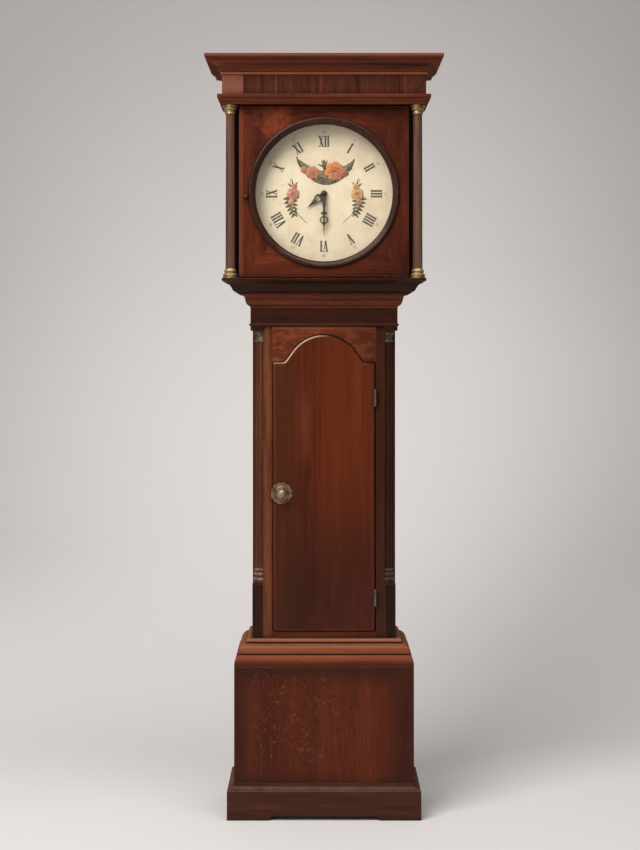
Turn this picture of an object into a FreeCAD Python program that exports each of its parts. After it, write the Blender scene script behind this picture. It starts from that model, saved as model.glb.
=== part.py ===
import FreeCAD, Part
import math
import os
from FreeCAD import Vector

# A longcase clock with a round painted dial: case, hood, two doors, movement, weight and pendulum.
# Millimetres. +Z is up, the front faces -Y, and the origin is on the floor under the clock's middle.

# Half widths, measured from the middle of the clock
TRUNK_HALF = 179.0
BASE_HALF = 222.5
HOOD_HALF = 251.3
HOOD_FOOT_HALF = 216.0
HOOD_BOARD_HALF = 238.0
HOOD_DOOR_HALF = 210.0
TRUNK_DOOR_HALF = 126.5
BACKBOARD_EAR_HALF = 219.0
BACKBOARD_HEAD_HALF = 197.0

# Depths and board thicknesses
TRUNK_DEPTH = 185.0
HOOD_REACH = 67.5
BOARD = 16.0
BACKBOARD = 15.0
FRAME_THICK = 20.0
FRIEZE_BOARD = 18.0
FLOOR_THICK = 12.0
SEAT_THICK = 20.0
SEAT_LIP = 8.0
MASK_THICK = 12.0
TOP_BOARD = 10.0

# Heights above the floor
BOARD_FOOT_Z = 12.0
FLOOR_Z = 40.0
TRUNK_FOOT_Z = 360.0
BASE_TOP_Z = 374.0
DOOR_FOOT_Z = 458.0
COLUMN_BLOCK_TOP_Z = 575.0
LATCH_Z = 802.0
DOOR_SHOULDER_Z = 1128.0
SCREW_Z = 1150.0
DOOR_HAUNCH_Z = 1158.0
CAPITAL_Z = 1180.0
DOOR_TOP_Z = 1197.0
ABACUS_Z = 1208.0
ASTRAGAL_Z = 1219.0
THROAT_Z = 1264.5
TRUNK_TOP_Z = 1300.7
HOOD_Z = 1301.0
HOOD_FLOOR_Z = 1337.0
HOOD_KNOB_Z = 1539.0
DIAL_Z = 1549.0
ARCHITRAVE_Z = 1766.0
HOOD_FRIEZE_Z = 1789.0
CORNICE_Z = 1837.0

# How much an edge bows: the bow's height over the edge's length, negative where it swells outward
COVE = 0.18
SHALLOW_COVE = 0.1
OVOLO = -0.2
SOFT_OVOLO = -0.16
SLIGHT_OVOLO = -0.06
RING = -0.25
BEAD = -0.4
QUARTER_ROUND = -math.tan(math.radians(22.5)) / 2

# Mouldings and turnings from bottom to top, as steps of (out, up) or (out, up, bow)
PLINTH_OUT = 17.2
PLINTH_STEPS = [(0, 69), (-4, 4, OVOLO), (-12.4, 15, COVE)]
BASE_STEPS = [(0, 5), (-6.5, 24, SLIGHT_OVOLO), (-4.5, 0), (0, 3.5), (2.5, 0), (-16, 22.5, SOFT_OVOLO),
              (-7, 0), (0, 3), (3, 0), (0, 3), (-7, 5, SOFT_OVOLO)]
FRIEZE_OUT = 4.7
FRIEZE_STEPS = [(0, 1), (3.5, 3, OVOLO), (-3.5, 3, OVOLO), (0, 38.5)]
THROAT_OUT = 29.0
THROAT_STEPS = [(1.3, 4), (11, 18, SOFT_OVOLO), (1.5, 0), (0, 3), (10.5, 8.7, COVE), (0, 2.5)]
HOOD_FOOT_OUT = 36.0
HOOD_FOOT_IN = -19.0
HOOD_FOOT_STEPS = [(0, 3), (12, 8, OVOLO), (22, 19, SHALLOW_COVE), (2, 0), (0, 6)]
ARCHITRAVE_IN = -50.0
ARCHITRAVE_FOOT = 2.0
ARCHITRAVE_STEPS = [(0, 5), (2, 0), (0, 2), (6, 8, COVE), (1.5, 0), (0, 8)]
CORNICE_OUT = 41.0
CORNICE_STEPS = [(1, 8, BEAD), (4, 1.5), (19, 15.5, COVE), (4, 0), (0, 4), (5, 6, COVE), (5, 5, OVOLO),
                 (3, 0), (0, 7)]
COLUMN_R = 26.0
COLUMN_STEPS = [(0, 5), (-2, 1), (0, 9, RING), (-2, 2), (0, 2), (1, 9, RING), (-2, 2), (1, 1),
                (0, 6, RING), (-1, 8)]
CAPITAL_R = 22.0
CAPITAL_STEPS = [(0, 4, RING), (-1, 1), (0, 12), (4, 5, SOFT_OVOLO), (0, 6)]
HOOD_COLUMN_R = 12.0
BRASS_R = 18.5
BRASS_TALL = 24.0
COLUMN_BASE_STEPS = [(0, 5), (-2.5, 0), (0, 6, BEAD), (-2, 4, COVE), (0, 6, RING), (-2, 3)]
COLUMN_CAPITAL_STEPS = [(0, 4, BEAD), (0, 5), (4, 7, OVOLO), (0, 2), (2.5, 0), (0, 6)]
PILLAR_R = 6.0
PILLAR_END_STEPS = [(0, 5), (-2.5, 4, 0.1)]
PILLAR_SWELL = 1.5
PILLAR_BOW = 0.04

# Foot cut-out, backboard and trunk details
FOOT_CUT_Z = 10.0
FOOT_TOP_HALF = 130.0
FOOT_LOW_HALF = 142.0
FOOT_BOW = 0.12
EAR_CLEAR = 4.0
SCREW_R = 3.0
SCREW_X = -120.0
CORNER = 27.0
DOOR_GAP = 2.0
HINGE_GAP = 3.0

# Trunk door: flat shoulders, an ogee on each side and a rounded top
SHOULDER_X = 106.0
OGEE_X = 94.6
OGEE_RISE = 6.0
OGEE_BOW = 0.119
HAUNCH_X = 77.0
DOOR_PROUD = 5.0
DOOR_THICK = 20.0
EDGE_WIDE = 4.0
EDGE_STEP = 3.0

# Door catch and its rosette
LATCH_X = -106.0
SPINDLE_R = 4.0
ROSETTE_R = 25.0
ROSETTE_LOBES = 12
ROSETTE_THICK = 3.0
DOME_TOP_R = 10.0
DOME_FOOT_R = 19.0
DOME_RISE = 4.0
KNOB_R = 12.0
KNOB_NECK = 4.0
KNOB_NECK_R = 6.5
KNOB_GAP = 0.3
BAR_GAP = 1.0
BAR_THICK = 4.0
BAR_LONG = 38.0
BAR_WIDE = 12.0

# Butt hinges of the trunk door
HINGE_PROUD = 3.5
KNUCKLE_R = 3.2
KNUCKLE_GAP = 0.2
PIN_R = 1.4
LEAF = 1.1
LEAF_DEEP = 15.0
HINGE_TALL = 42.0
HINGE_LOWS = [520.0, 1020.0]

# Hood door, glass and knob
HOOD_DOOR_BACK = 48.0
HOOD_DOOR_THICK = 20.0
HOOD_DOOR_CLEAR = 2.5
MASK_GAP = 1.0
DIAL_GAP = 2.0
APERTURE_R = 175.0
MASK_R = 176.0
GLASS_R = 178.0
GLASS_THICK = 3.0
GLASS_SUNK = 13.0
BEZEL_R = 187.0
BEZEL_INNER_R = 170.0
BEZEL_COVE_R = 177.5
BEZEL_BEAD_R = 178.5
BEZEL_LIP = 1.0
BEZEL_PROUD = 5.0
BEZEL_COVE = 0.12
BEZEL_BEAD = -0.32
STRAP_LONG = 60.0
STRAP_THICK = 3.0
STRAP_PIN_IN = 2.0
STRAP_PIN_R = 1.5
STRAP_PIN_HOLE = 5.0
STRAP_PIN = 4.0
HOOD_KNOB_X = -194.0
PULL_LONG = 12.0
PULL_R = 3.2
PULL_RING = 2.8
PULL_FOOT = 1.0
PULL_FOOT_SLOPE = 0.5
HOOD_COLUMN_X = 231.5
HOOD_COLUMN_REACH = 47.0
HOOD_COLUMN_TAPER = 1.0

# Dial and hands; a hand's outline is its half width at each distance from the centre
DIAL_R = 178.0
DIAL_THICK = 2.0
DIAL_HOLE_R = 6.0
DIAL_FOOT_R = 4.0
DIAL_FOOT_X = 50.0
DIAL_FOOT_RISES = (-60.0, 74.0)
HAND_THICK = 1.2
HOUR_HAND_AT = 230.0
MINUTE_HAND_AT = 180.0
HOUR_HAND_LIFT = 5.0
MINUTE_HAND_LIFT = 10.0
ARBOR_END_LIFT = 15.0
HOUR_OUTLINE = [(2.6, 0), (2.0, 14), (5.0, 20), (2.0, 26), (2.2, 30), (8.5, 37), (6.0, 43), (2.0, 47), (0, 56)]
MINUTE_OUTLINE = [(2.4, 0), (3.2, 14), (4.4, 20), (3.0, 27), (1.4, 36), (1.6, 44), (5.5, 49), (2.0, 54),
                  (2.2, 57), (8.0, 64), (5.5, 68), (2.0, 71), (1.4, 78), (0, 106)]
HOUR_BOSS_R = 9.0
MINUTE_BOSS_R = 7.0
COLLET_TOP_R = 3.5
COLLET_FOOT_R = 6.0
COLLET_TALL = 4.0
COLLET_BOW = 0.12

# Movement plates, with heights given from the dial centre
PLATE_HALF = 60.0
PLATE_LOW = -72.0
PLATE_HIGH = 100.0
PLATE_THICK = 3.0
PLATE_GAP = 51.0
PLATE_SET_BACK = 28.0
PILLAR_X = 50.0
PILLAR_RISES = (-62.0, 88.0)
FIT = 0.05
PRESS = 0.01
END_PLAY = 0.4

# Wheels and pinions: counts of teeth, and modules
GREAT_TEETH = 60
GREAT_MODULE = 1.0
CENTRE_LEAVES = 12
CENTRE_TEETH = 60
CENTRE_MODULE = 0.9
THIRD_LEAVES = 8
THIRD_TEETH = 64
THIRD_MODULE = 0.8
ESCAPE_LEAVES = 8
ESCAPE_TEETH = 30
CANNON_TEETH = 24
MINUTE_TEETH = 48
MOTION_MODULE = 0.9
HOUR_TEETH = 72
HOUR_LEAVES = 12
THIRD_AT_X = 18.0
MOTION_AT = 300.0

# Tooth forms in modules: thickness at the pitch line, height above it, depth below it
WHEEL_FORM = (1.35, 1.05, 1.3)
PINION_FORM = (1.1, 0.65, 1.6)
EQUAL_FORM = (1.3, 0.78, 1.2)

# Wheel and shaft sizes, and how far each stands behind the front plate
WHEEL = 2.4
HUB_R = 7.0
RIM = 4.5
SPOKE = 2.0
PIVOT_R = 1.5
ARBOR_R = 1.8
CENTRE_R = 2.0
GREAT_PIVOT_R = 2.0
GREAT_ARBOR_R = 4.0
GREAT_AT = 5.0
CENTRE_PINION_AT = (2.0, 10.0)
CENTRE_AT = 40.0
THIRD_PINION_AT = (37.0, 45.0)
THIRD_AT = 29.0
ESCAPE_PINION_AT = (26.0, 35.0)
ESCAPE_AT = 46.0
ROPE_AT = 19.0

# Escapement
ESCAPE_R = 25.0
ESCAPE_ROOT_R = 20.5
ESCAPE_HUB_R = 6.0
ESCAPE_RIM_R = 17.0
ESCAPE_LEAN = 4.0
ESCAPE_TIP = 1.0
PALLET_RISE = 36.0
PALLET_HUB_R = 6.0
PALLET_THICK = 4.0
PALLET_ROOM_R = 6.0
NIB_AT = 48.0
NIB_CLEAR = 0.5
NIB_LONG = 6.0
NIB_WIDE = 2.4
ARM_WIDE = 4.5
CRUTCH_GAP = 4.0
CRUTCH_THICK = 3.0
CRUTCH_WIDE = 6.0
CRUTCH_HUB_R = 5.0
CRUTCH_DROP = 120.0
FORK_CLEAR = 0.6
FORK_WIDE = 3.0
FORK_TALL = 6.0

# Back cock that carries the pallets and the pendulum
COCK_GAP = 12.0
COCK_THICK = 3.0
COCK_HALF = 32.0
COCK_FOOT = 8.0
COCK_DOWN = 14.0
COCK_UP = 20.0
LUG_HALF = 9.0
LUG_FRONT = 4.0
LUG_BACK = 6.0
LUG_ARM_UP = 5.0
LUG_LIFT = 0.3

# Motion work in front of the front plate
MOTION_WHEEL_LIFT = 8.0
HOUR_WHEEL_LIFT = 17.0
STUD_R = 1.8
STUD_LIFT = 23.0
MINUTE_PINION_LIFT = 21.0
CANNON_R = 3.2
CANNON_TAIL = 1.0
PIPE_R = 5.0
PIPE_CLEAR = 0.1

# Rope, pulley, weight and counterweight
ROPE_R = 3.0
ROPE_CLEAR = 0.5
ROPE_HOLE_R = 9.0
PULLEY_R = 24.0
PULLEY_FLANGE = 28.0
PULLEY_HALF = 8.0
GROOVE_SLOPE = 1.0
WEIGHT_R = 30.0
WEIGHT_LOW = 1000.0
WEIGHT_TALL = 165.0
COUNTER_R = 11.0
COUNTER_LOW = 300.0
COUNTER_TALL = 45.0
WEIGHT_EDGE = 4.0
NECK_R = 4.5
NECK = 28.0

# Pendulum
PENDULUM = 994.0
PENDULUM_GAP = 21.0
BOB_R = 55.0
BOB_THICK = 26.0
BOB_RIM = 3.0
ROD_R = 3.0
ROD_TAIL = 30.0
SPRING_HALF = 4.0
SPRING_THICK = 0.4
SPRING = 30.0
SPRING_BLOCK = 8.0
NUT_R = 9.0
NUT_TALL = 10.0
NUT_EDGE = 1.0

# Places that follow from the sizes above
WHOLE_TURN = 360.0
HALF_TURN = 180.0
BACK_Y = (TRUNK_DEPTH + HOOD_REACH + CORNICE_OUT) / 2
BOARD_BACK_Y = BACK_Y - BACKBOARD
TRUNK_Y = BACK_Y - TRUNK_DEPTH
FRAME_Y = TRUNK_Y + FRAME_THICK
HOOD_Y = TRUNK_Y - HOOD_REACH
BASE_REACH = BASE_HALF - TRUNK_HALF
BASE_Y = TRUNK_Y - BASE_REACH
BASE_BOARD_Y = BASE_Y + BOARD
FLOOR_HALF = BASE_HALF - BOARD
TOP_Z = CORNICE_Z + sum(step[1] for step in CORNICE_STEPS)
STILE_OUT = TRUNK_HALF - CORNER
COLUMN_Y = TRUNK_Y + CORNER
OPENING_LEFT = -TRUNK_DOOR_HALF - DOOR_GAP
OPENING_RIGHT = TRUNK_DOOR_HALF + HINGE_GAP
OGEE_Z = DOOR_SHOULDER_Z + OGEE_RISE
TOP_BOW = -(DOOR_TOP_Z - DOOR_HAUNCH_Z) / (2 * HAUNCH_X)
DOOR_Y = TRUNK_Y - DOOR_PROUD
DOOR_BACK_Y = DOOR_Y + DOOR_THICK
DOME_FOOT_Y = DOOR_Y - ROSETTE_THICK
DOME_Y = DOME_FOOT_Y - DOME_RISE
NECK_Y = DOME_Y - KNOB_GAP
KNOB_FOOT_Y = NECK_Y - KNOB_NECK
KNOB_MIDDLE_Y = KNOB_FOOT_Y - KNOB_R + KNOB_NECK_R
KNOB_Y = KNOB_MIDDLE_Y - KNOB_R
BAR_Y = FRAME_Y + BAR_GAP
HINGE_X = TRUNK_DOOR_HALF + HINGE_GAP / 2
HINGE_Y = DOOR_Y - HINGE_PROUD
HOOD_DOOR_Y = TRUNK_Y - HOOD_DOOR_BACK
HOOD_DOOR_BACK_Y = HOOD_DOOR_Y + HOOD_DOOR_THICK
HOOD_DOOR_LOW = HOOD_FLOOR_Z + HOOD_DOOR_CLEAR
HOOD_DOOR_HIGH = ARCHITRAVE_Z - HOOD_DOOR_CLEAR
GLASS_Y = HOOD_DOOR_Y + GLASS_SUNK
MASK_Y = HOOD_DOOR_BACK_Y + MASK_GAP
MASK_BACK_Y = MASK_Y + MASK_THICK
STRAP_PIN_X = HOOD_DOOR_HALF - STRAP_PIN_IN
STRAP_PIN_Y = HOOD_DOOR_Y + STRAP_PIN_IN
PULL_Y = HOOD_DOOR_Y - PULL_LONG
HOOD_COLUMN_Y = TRUNK_Y - HOOD_COLUMN_REACH
DIAL_Y = MASK_BACK_Y + DIAL_GAP
DIAL_BACK_Y = DIAL_Y + DIAL_THICK
HOUR_HAND_Y = DIAL_Y - HOUR_HAND_LIFT
MINUTE_HAND_Y = DIAL_Y - MINUTE_HAND_LIFT
ARBOR_END_Y = DIAL_Y - ARBOR_END_LIFT
PLATE_Y = TRUNK_Y + PLATE_SET_BACK
INSIDE_Y = PLATE_Y + PLATE_THICK
REAR_PLATE_Y = INSIDE_Y + PLATE_GAP
REAR_Y = REAR_PLATE_Y + PLATE_THICK
SEAT_Y = PLATE_Y - SEAT_LIP
SEAT_BACK_Y = REAR_Y + SEAT_LIP
SEAT_TOP_Z = DIAL_Z + PLATE_LOW
SEAT_Z = SEAT_TOP_Z - SEAT_THICK
ROPE_Y = INSIDE_Y + ROPE_AT
COCK_Y = REAR_Y + COCK_GAP
COCK_BACK_Y = COCK_Y + COCK_THICK
PENDULUM_Y = REAR_Y + PENDULUM_GAP
CRUTCH_Y = REAR_Y + CRUTCH_GAP
WHEEL_Y = PLATE_Y - MOTION_WHEEL_LIFT
HOUR_Y = PLATE_Y - HOUR_WHEEL_LIFT
STUD_Y = PLATE_Y - STUD_LIFT

# Places of the arbors, as (x, z)
THIRD_RUN = (CENTRE_TEETH + THIRD_LEAVES) * CENTRE_MODULE / 2
ESCAPE_RUN = (THIRD_TEETH + ESCAPE_LEAVES) * THIRD_MODULE / 2
MOTION_RUN = (CANNON_TEETH + MINUTE_TEETH) * MOTION_MODULE / 2
HOUR_MODULE = 2 * MOTION_RUN / (HOUR_TEETH + HOUR_LEAVES)
CENTRE = (0.0, DIAL_Z)
GREAT = (0.0, DIAL_Z - (GREAT_TEETH + CENTRE_LEAVES) * GREAT_MODULE / 2)
THIRD = (THIRD_AT_X, DIAL_Z + math.sqrt(THIRD_RUN ** 2 - THIRD_AT_X ** 2))
ESCAPE = (0.0, THIRD[1] + math.sqrt(ESCAPE_RUN ** 2 - THIRD_AT_X ** 2))
PALLET = (0.0, ESCAPE[1] + PALLET_RISE)


def box(x0, x1, y0, y1, z0, z1):
    return Part.makeBox(x1 - x0, y1 - y0, z1 - z0, Vector(x0, y0, z0))


def side_box(side, near, far, y0, y1, z0, z1):
    """A box on the left (-1) or right (1) of the middle, from its near and far half widths."""
    return box(min(side * near, side * far), max(side * near, side * far), y0, y1, z0, z1)


def rod(centre, y0, y1, radius):
    """A round bar that runs from front to back at an (x, z) place."""
    return Part.makeCylinder(radius, y1 - y0, Vector(centre[0], y0, centre[1]), Vector(0, 1, 0))


def post(x, y, z0, z1, radius):
    """A round upright bar."""
    return Part.makeCylinder(radius, z1 - z0, Vector(x, y, z0))


def face(points, place):
    """A flat face from (a, b) or (a, b, bow) points; a bow bends the edge that arrives there.

    The bow is its height over the edge's length, and is positive to the left of travel.
    """
    edges = []
    for before, here in zip(points[-1:] + points[:-1], points):
        start = place(before[0], before[1])
        end = place(here[0], here[1])
        if len(here) == 2:
            edges.append(Part.makeLine(start, end))
            continue
        across = here[0] - before[0]
        along = here[1] - before[1]
        middle_a = (before[0] + here[0]) / 2 - along * here[2]
        middle_b = (before[1] + here[1]) / 2 + across * here[2]
        edges.append(Part.Arc(start, place(middle_a, middle_b), end).toShape())
    return Part.Face(Part.Wire(edges))


def climbing(inner, start, steps):
    """A closed outline that climbs from a start point by steps and comes straight down at inner."""
    points = [start]
    for step in steps:
        points.append((points[-1][0] + step[0], points[-1][1] + step[1]) + tuple(step[2:]))
    return points + [(inner, points[-1][1]), (inner, start[1])]


def outward(solid):
    """The solid with its faces pointing outward."""
    if solid.Volume < 0:
        solid.reverse()
    return solid


def slab(points, y0, y1):
    """A front-view outline in x and z, taken from y0 back to y1."""
    return outward(face(points, lambda x, z: Vector(x, y0, z)).extrude(Vector(0, y1 - y0, 0)))


def plan(points, z0, z1):
    """A plan outline in x and y, taken from z0 up to z1."""
    return outward(face(points, lambda x, y: Vector(x, y, z0)).extrude(Vector(0, 0, z1 - z0)))


def turned(points, x, y):
    """A round upright piece from its (radius, z) outline."""
    outline = face(points, lambda radius, z: Vector(x + radius, y, z))
    return outward(outline.revolve(Vector(x, y, 0), Vector(0, 0, 1), WHOLE_TURN))


def turned_front(points, x, z):
    """A round piece that faces the front, from its (radius, y) outline."""
    outline = face(points, lambda radius, y: Vector(x + radius, y, z))
    return outward(outline.revolve(Vector(x, 0, z), Vector(0, 1, 0), WHOLE_TURN))


def mirrored(shape):
    return shape.mirror(Vector(0, 0, 0), Vector(1, 0, 0))


def pairs(*shapes):
    """Each piece with its twin on the other side of the clock."""
    return Part.makeCompound([twin for shape in shapes for twin in (shape, mirrored(shape))])


def mitred(points, half, front):
    """A moulding round the front and both sides, in three lengths that meet in mitres.

    The points are (out, z): how far each lies outside the face that the moulding goes round.
    """
    reach = max(point[0] for point in points)
    inner = min(point[0] for point in points)
    low = min(point[1] for point in points)
    high = max(point[1] for point in points)
    full = half + reach
    front_run = face(points, lambda out, z: Vector(-full, front - out, z))
    front_run = front_run.extrude(Vector(2 * full, 0, 0))
    kept = [(-half - inner, front - inner), (half + inner, front - inner),
            (full, front - reach), (-full, front - reach)]
    front_run = front_run.common(plan(kept, low, high))
    side_run = face(points, lambda out, z: Vector(half + out, front - reach, z))
    side_run = side_run.extrude(Vector(0, BACK_Y - front + reach, 0))
    kept = [(half + inner, front - inner), (full, front - reach), (full, BACK_Y), (half + inner, BACK_Y)]
    side_run = side_run.common(plan(kept, low, high))
    return Part.makeCompound([front_run.Solids[0], side_run.Solids[0], mirrored(side_run.Solids[0])])


def bar(start, end, width, y0, y1):
    """A flat bar of even width between two (x, z) points."""
    length = math.hypot(end[0] - start[0], end[1] - start[1])
    side_x = (end[1] - start[1]) / length * width / 2
    side_z = -(end[0] - start[0]) / length * width / 2
    corners = [(start[0] + side_x, start[1] + side_z), (end[0] + side_x, end[1] + side_z),
               (end[0] - side_x, end[1] - side_z), (start[0] - side_x, start[1] - side_z)]
    return slab(corners, y0, y1)


def around(centre, radius, angle):
    """The (x, z) point at an angle clockwise from 12 o'clock."""
    turn = math.radians(angle)
    return (centre[0] + radius * math.sin(turn), centre[1] + radius * math.cos(turn))


def clock_angle(start, end):
    """The direction from one (x, z) point to another, clockwise from 12 o'clock."""
    return math.degrees(math.atan2(end[0] - start[0], end[1] - start[1]))


def gear(teeth, module, form, centre, y0, y1, tooth_at):
    """A toothed disc whose first tooth points at an angle clockwise from 12 o'clock."""
    thickness, above, below = form
    pitch_r = teeth * module / 2
    root_r = pitch_r - below * module
    tip_r = pitch_r + above * module
    bow = math.sqrt(0.5)
    middle_r = pitch_r + above * module * bow
    half = math.degrees(thickness * module / pitch_r / 2)
    step = WHOLE_TURN / teeth

    def spot(radius, angle):
        x, z = around(centre, radius, angle)
        return Vector(x, y0, z)

    edges = []
    for tooth in range(teeth):
        at = tooth_at + tooth * step
        rising = Part.Arc(spot(pitch_r, at - half), spot(middle_r, at - half * bow), spot(tip_r, at))
        falling = Part.Arc(spot(tip_r, at), spot(middle_r, at + half * bow), spot(pitch_r, at + half))
        edges.append(Part.makeLine(spot(root_r, at - half), spot(pitch_r, at - half)))
        edges.append(rising.toShape())
        edges.append(falling.toShape())
        edges.append(Part.makeLine(spot(pitch_r, at + half), spot(root_r, at + half)))
        edges.append(Part.makeLine(spot(root_r, at + half), spot(root_r, at + step - half)))
    return Part.Face(Part.Wire(edges)).extrude(Vector(0, y1 - y0, 0))


def crossed(disc, centre, hub_r, rim_r, y0, y1):
    """A disc with four windows cut between its hub and rim, leaving four spokes."""
    windows = rod(centre, y0, y1, rim_r).cut(rod(centre, y0, y1, hub_r))
    across = box(centre[0] - rim_r, centre[0] + rim_r, y0, y1, centre[1] - SPOKE, centre[1] + SPOKE)
    upright = box(centre[0] - SPOKE, centre[0] + SPOKE, y0, y1, centre[1] - rim_r, centre[1] + rim_r)
    return disc.cut(windows.cut(across).cut(upright))


def wheel(teeth, module, centre, y0, tooth_at):
    """A toothed wheel with four spokes."""
    disc = gear(teeth, module, WHEEL_FORM, centre, y0, y0 + WHEEL, tooth_at)
    return crossed(disc, centre, HUB_R, teeth * module / 2 - RIM, y0, y0 + WHEEL)


def pinion(leaves, module, centre, partner, y0, y1):
    """A pinion with a gap facing the wheel that it meshes with."""
    gap_at = clock_angle(centre, partner)
    return gear(leaves, module, PINION_FORM, centre, y0, y1, gap_at + HALF_TURN / leaves)


def arbor(centre, radius=ARBOR_R, pivot=PIVOT_R):
    """A shaft between the plates, with a thin pivot in each plate."""
    shaft = rod(centre, INSIDE_Y + END_PLAY, REAR_PLATE_Y - END_PLAY, radius)
    return shaft.fuse(rod(centre, PLATE_Y, REAR_Y, pivot))


def save(name, shape):
    shape.exportStep("parts/" + name + ".step")


os.makedirs("parts", exist_ok=True)

# Plinth with a shallow cut between its feet
plinth = mitred(climbing(0, (PLINTH_OUT, 0), PLINTH_STEPS), BASE_HALF, BASE_Y)
foot_cut = slab([(-FOOT_LOW_HALF, 0, FOOT_BOW), (FOOT_LOW_HALF, 0), (FOOT_TOP_HALF, FOOT_CUT_Z, FOOT_BOW),
                 (-FOOT_TOP_HALF, FOOT_CUT_Z)], BASE_Y - PLINTH_OUT, BASE_Y)
save("plinth_front", plinth.Solids[0].cut(foot_cut))
save("plinth_sides", Part.makeCompound(plinth.Solids[1:]))

# Base box and the moulding on top of it
base_side = box(FLOOR_HALF, BASE_HALF, BASE_BOARD_Y, BOARD_BACK_Y, BOARD_FOOT_Z, BASE_TOP_Z)
save("base_front", box(-BASE_HALF, BASE_HALF, BASE_Y, BASE_BOARD_Y, BOARD_FOOT_Z, BASE_TOP_Z))
save("base_sides", pairs(base_side))
save("base_floor", box(-FLOOR_HALF, FLOOR_HALF, BASE_BOARD_Y, BOARD_BACK_Y, FLOOR_Z, FLOOR_Z + FLOOR_THICK))
save("base_moulding", mitred(climbing(0, (BASE_REACH, BASE_TOP_Z), BASE_STEPS), TRUNK_HALF, TRUNK_Y))

# Backboard: a tall middle board, with boards joined to its edges behind the base and the hood
ear_top = ARCHITRAVE_Z - EAR_CLEAR
head_top = CORNICE_Z - EAR_CLEAR
middle_board = box(-TRUNK_HALF, TRUNK_HALF, BOARD_BACK_Y, BACK_Y, BOARD_FOOT_Z, head_top)
middle_board = middle_board.cut(rod((SCREW_X, SCREW_Z), BOARD_BACK_Y, BACK_Y, SCREW_R))
side_boards = pairs(
    box(TRUNK_HALF, BASE_HALF, BOARD_BACK_Y, BACK_Y, BOARD_FOOT_Z, BASE_TOP_Z),
    box(TRUNK_HALF, BACKBOARD_EAR_HALF, BOARD_BACK_Y, BACK_Y, HOOD_FLOOR_Z + EAR_CLEAR, ear_top),
    box(TRUNK_HALF, BACKBOARD_HEAD_HALF, BOARD_BACK_Y, BACK_Y, ear_top, head_top))
save("backboard", Part.makeCompound([middle_board] + side_boards.Solids))

# Trunk carcass: sides that rise into cheeks for the seat board, and the stiles of the front
trunk_side = box(TRUNK_HALF - BOARD, TRUNK_HALF, COLUMN_Y, BOARD_BACK_Y, TRUNK_FOOT_Z, TRUNK_TOP_Z)
cheek = box(TRUNK_HALF - BOARD, TRUNK_HALF, SEAT_Y, BOARD_BACK_Y, TRUNK_TOP_Z, SEAT_Z)
save("trunk_sides", pairs(trunk_side.fuse(cheek).removeSplitter()))
save("trunk_stiles", Part.makeCompound([
    box(-STILE_OUT, OPENING_LEFT, TRUNK_Y, FRAME_Y, TRUNK_FOOT_Z, TRUNK_TOP_Z),
    box(OPENING_RIGHT, STILE_OUT, TRUNK_Y, FRAME_Y, TRUNK_FOOT_Z, TRUNK_TOP_Z)]))


def door_outline(grow, y):
    """The trunk door's front outline, made larger by an even margin, as a face at depth y."""
    outline = face(
        [(-TRUNK_DOOR_HALF, DOOR_FOOT_Z), (TRUNK_DOOR_HALF, DOOR_FOOT_Z),
         (TRUNK_DOOR_HALF, DOOR_SHOULDER_Z), (SHOULDER_X, DOOR_SHOULDER_Z), (OGEE_X, OGEE_Z, OGEE_BOW),
         (HAUNCH_X, DOOR_HAUNCH_Z), (-HAUNCH_X, DOOR_HAUNCH_Z, TOP_BOW), (-OGEE_X, OGEE_Z),
         (-SHOULDER_X, DOOR_SHOULDER_Z, OGEE_BOW), (-TRUNK_DOOR_HALF, DOOR_SHOULDER_Z)],
        lambda x, z: Vector(x, y, z))
    if grow == 0:
        return outline
    sharp_corners = 2
    return Part.Face(outline.OuterWire.makeOffset2D(grow, sharp_corners))


# Rails above and below the trunk door; the top one is cut to the door's arch
opening = door_outline(DOOR_GAP, TRUNK_Y).extrude(Vector(0, FRAME_THICK, 0))
top_rail = box(OPENING_LEFT, OPENING_RIGHT, TRUNK_Y, FRAME_Y, DOOR_SHOULDER_Z + DOOR_GAP, TRUNK_TOP_Z)
bottom_rail = box(OPENING_LEFT, OPENING_RIGHT, TRUNK_Y, FRAME_Y, TRUNK_FOOT_Z, DOOR_FOOT_Z - DOOR_GAP)
save("trunk_rails", Part.makeCompound([top_rail.cut(opening).Solids[0], bottom_rail]))

# Frieze and throat moulding at the top of the trunk
save("trunk_frieze", mitred(climbing(0, (FRIEZE_OUT, ASTRAGAL_Z), FRIEZE_STEPS), TRUNK_HALF, TRUNK_Y))
save("throat_moulding", mitred(climbing(0, (FRIEZE_OUT, THROAT_Z), THROAT_STEPS), TRUNK_HALF, TRUNK_Y))

# Quarter columns let into the trunk's front corners, with blocks below and above
quarter = box(STILE_OUT, TRUNK_HALF + THROAT_OUT, TRUNK_Y - THROAT_OUT, COLUMN_Y, 0, TOP_Z)
base_rings = sum(step[1] for step in COLUMN_STEPS)
shaft_step = (0, CAPITAL_Z - COLUMN_BLOCK_TOP_Z - base_rings)
column = turned(climbing(0, (COLUMN_R, COLUMN_BLOCK_TOP_Z), COLUMN_STEPS + [shaft_step]), STILE_OUT, COLUMN_Y)
capital = turned(climbing(0, (CAPITAL_R, CAPITAL_Z), CAPITAL_STEPS), STILE_OUT, COLUMN_Y)
save("quarter_columns", pairs(column.common(quarter)))
save("quarter_capitals", pairs(capital.common(quarter)))
block = box(STILE_OUT, TRUNK_HALF, TRUNK_Y, COLUMN_Y, TRUNK_FOOT_Z, COLUMN_BLOCK_TOP_Z)
abacus = box(STILE_OUT, TRUNK_HALF + FRIEZE_OUT, TRUNK_Y - FRIEZE_OUT, COLUMN_Y, ABACUS_Z, ASTRAGAL_Z)
corner_top = box(STILE_OUT, TRUNK_HALF, TRUNK_Y, COLUMN_Y, ASTRAGAL_Z, TRUNK_TOP_Z)
save("corner_blocks", pairs(block, abacus, corner_top))

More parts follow.
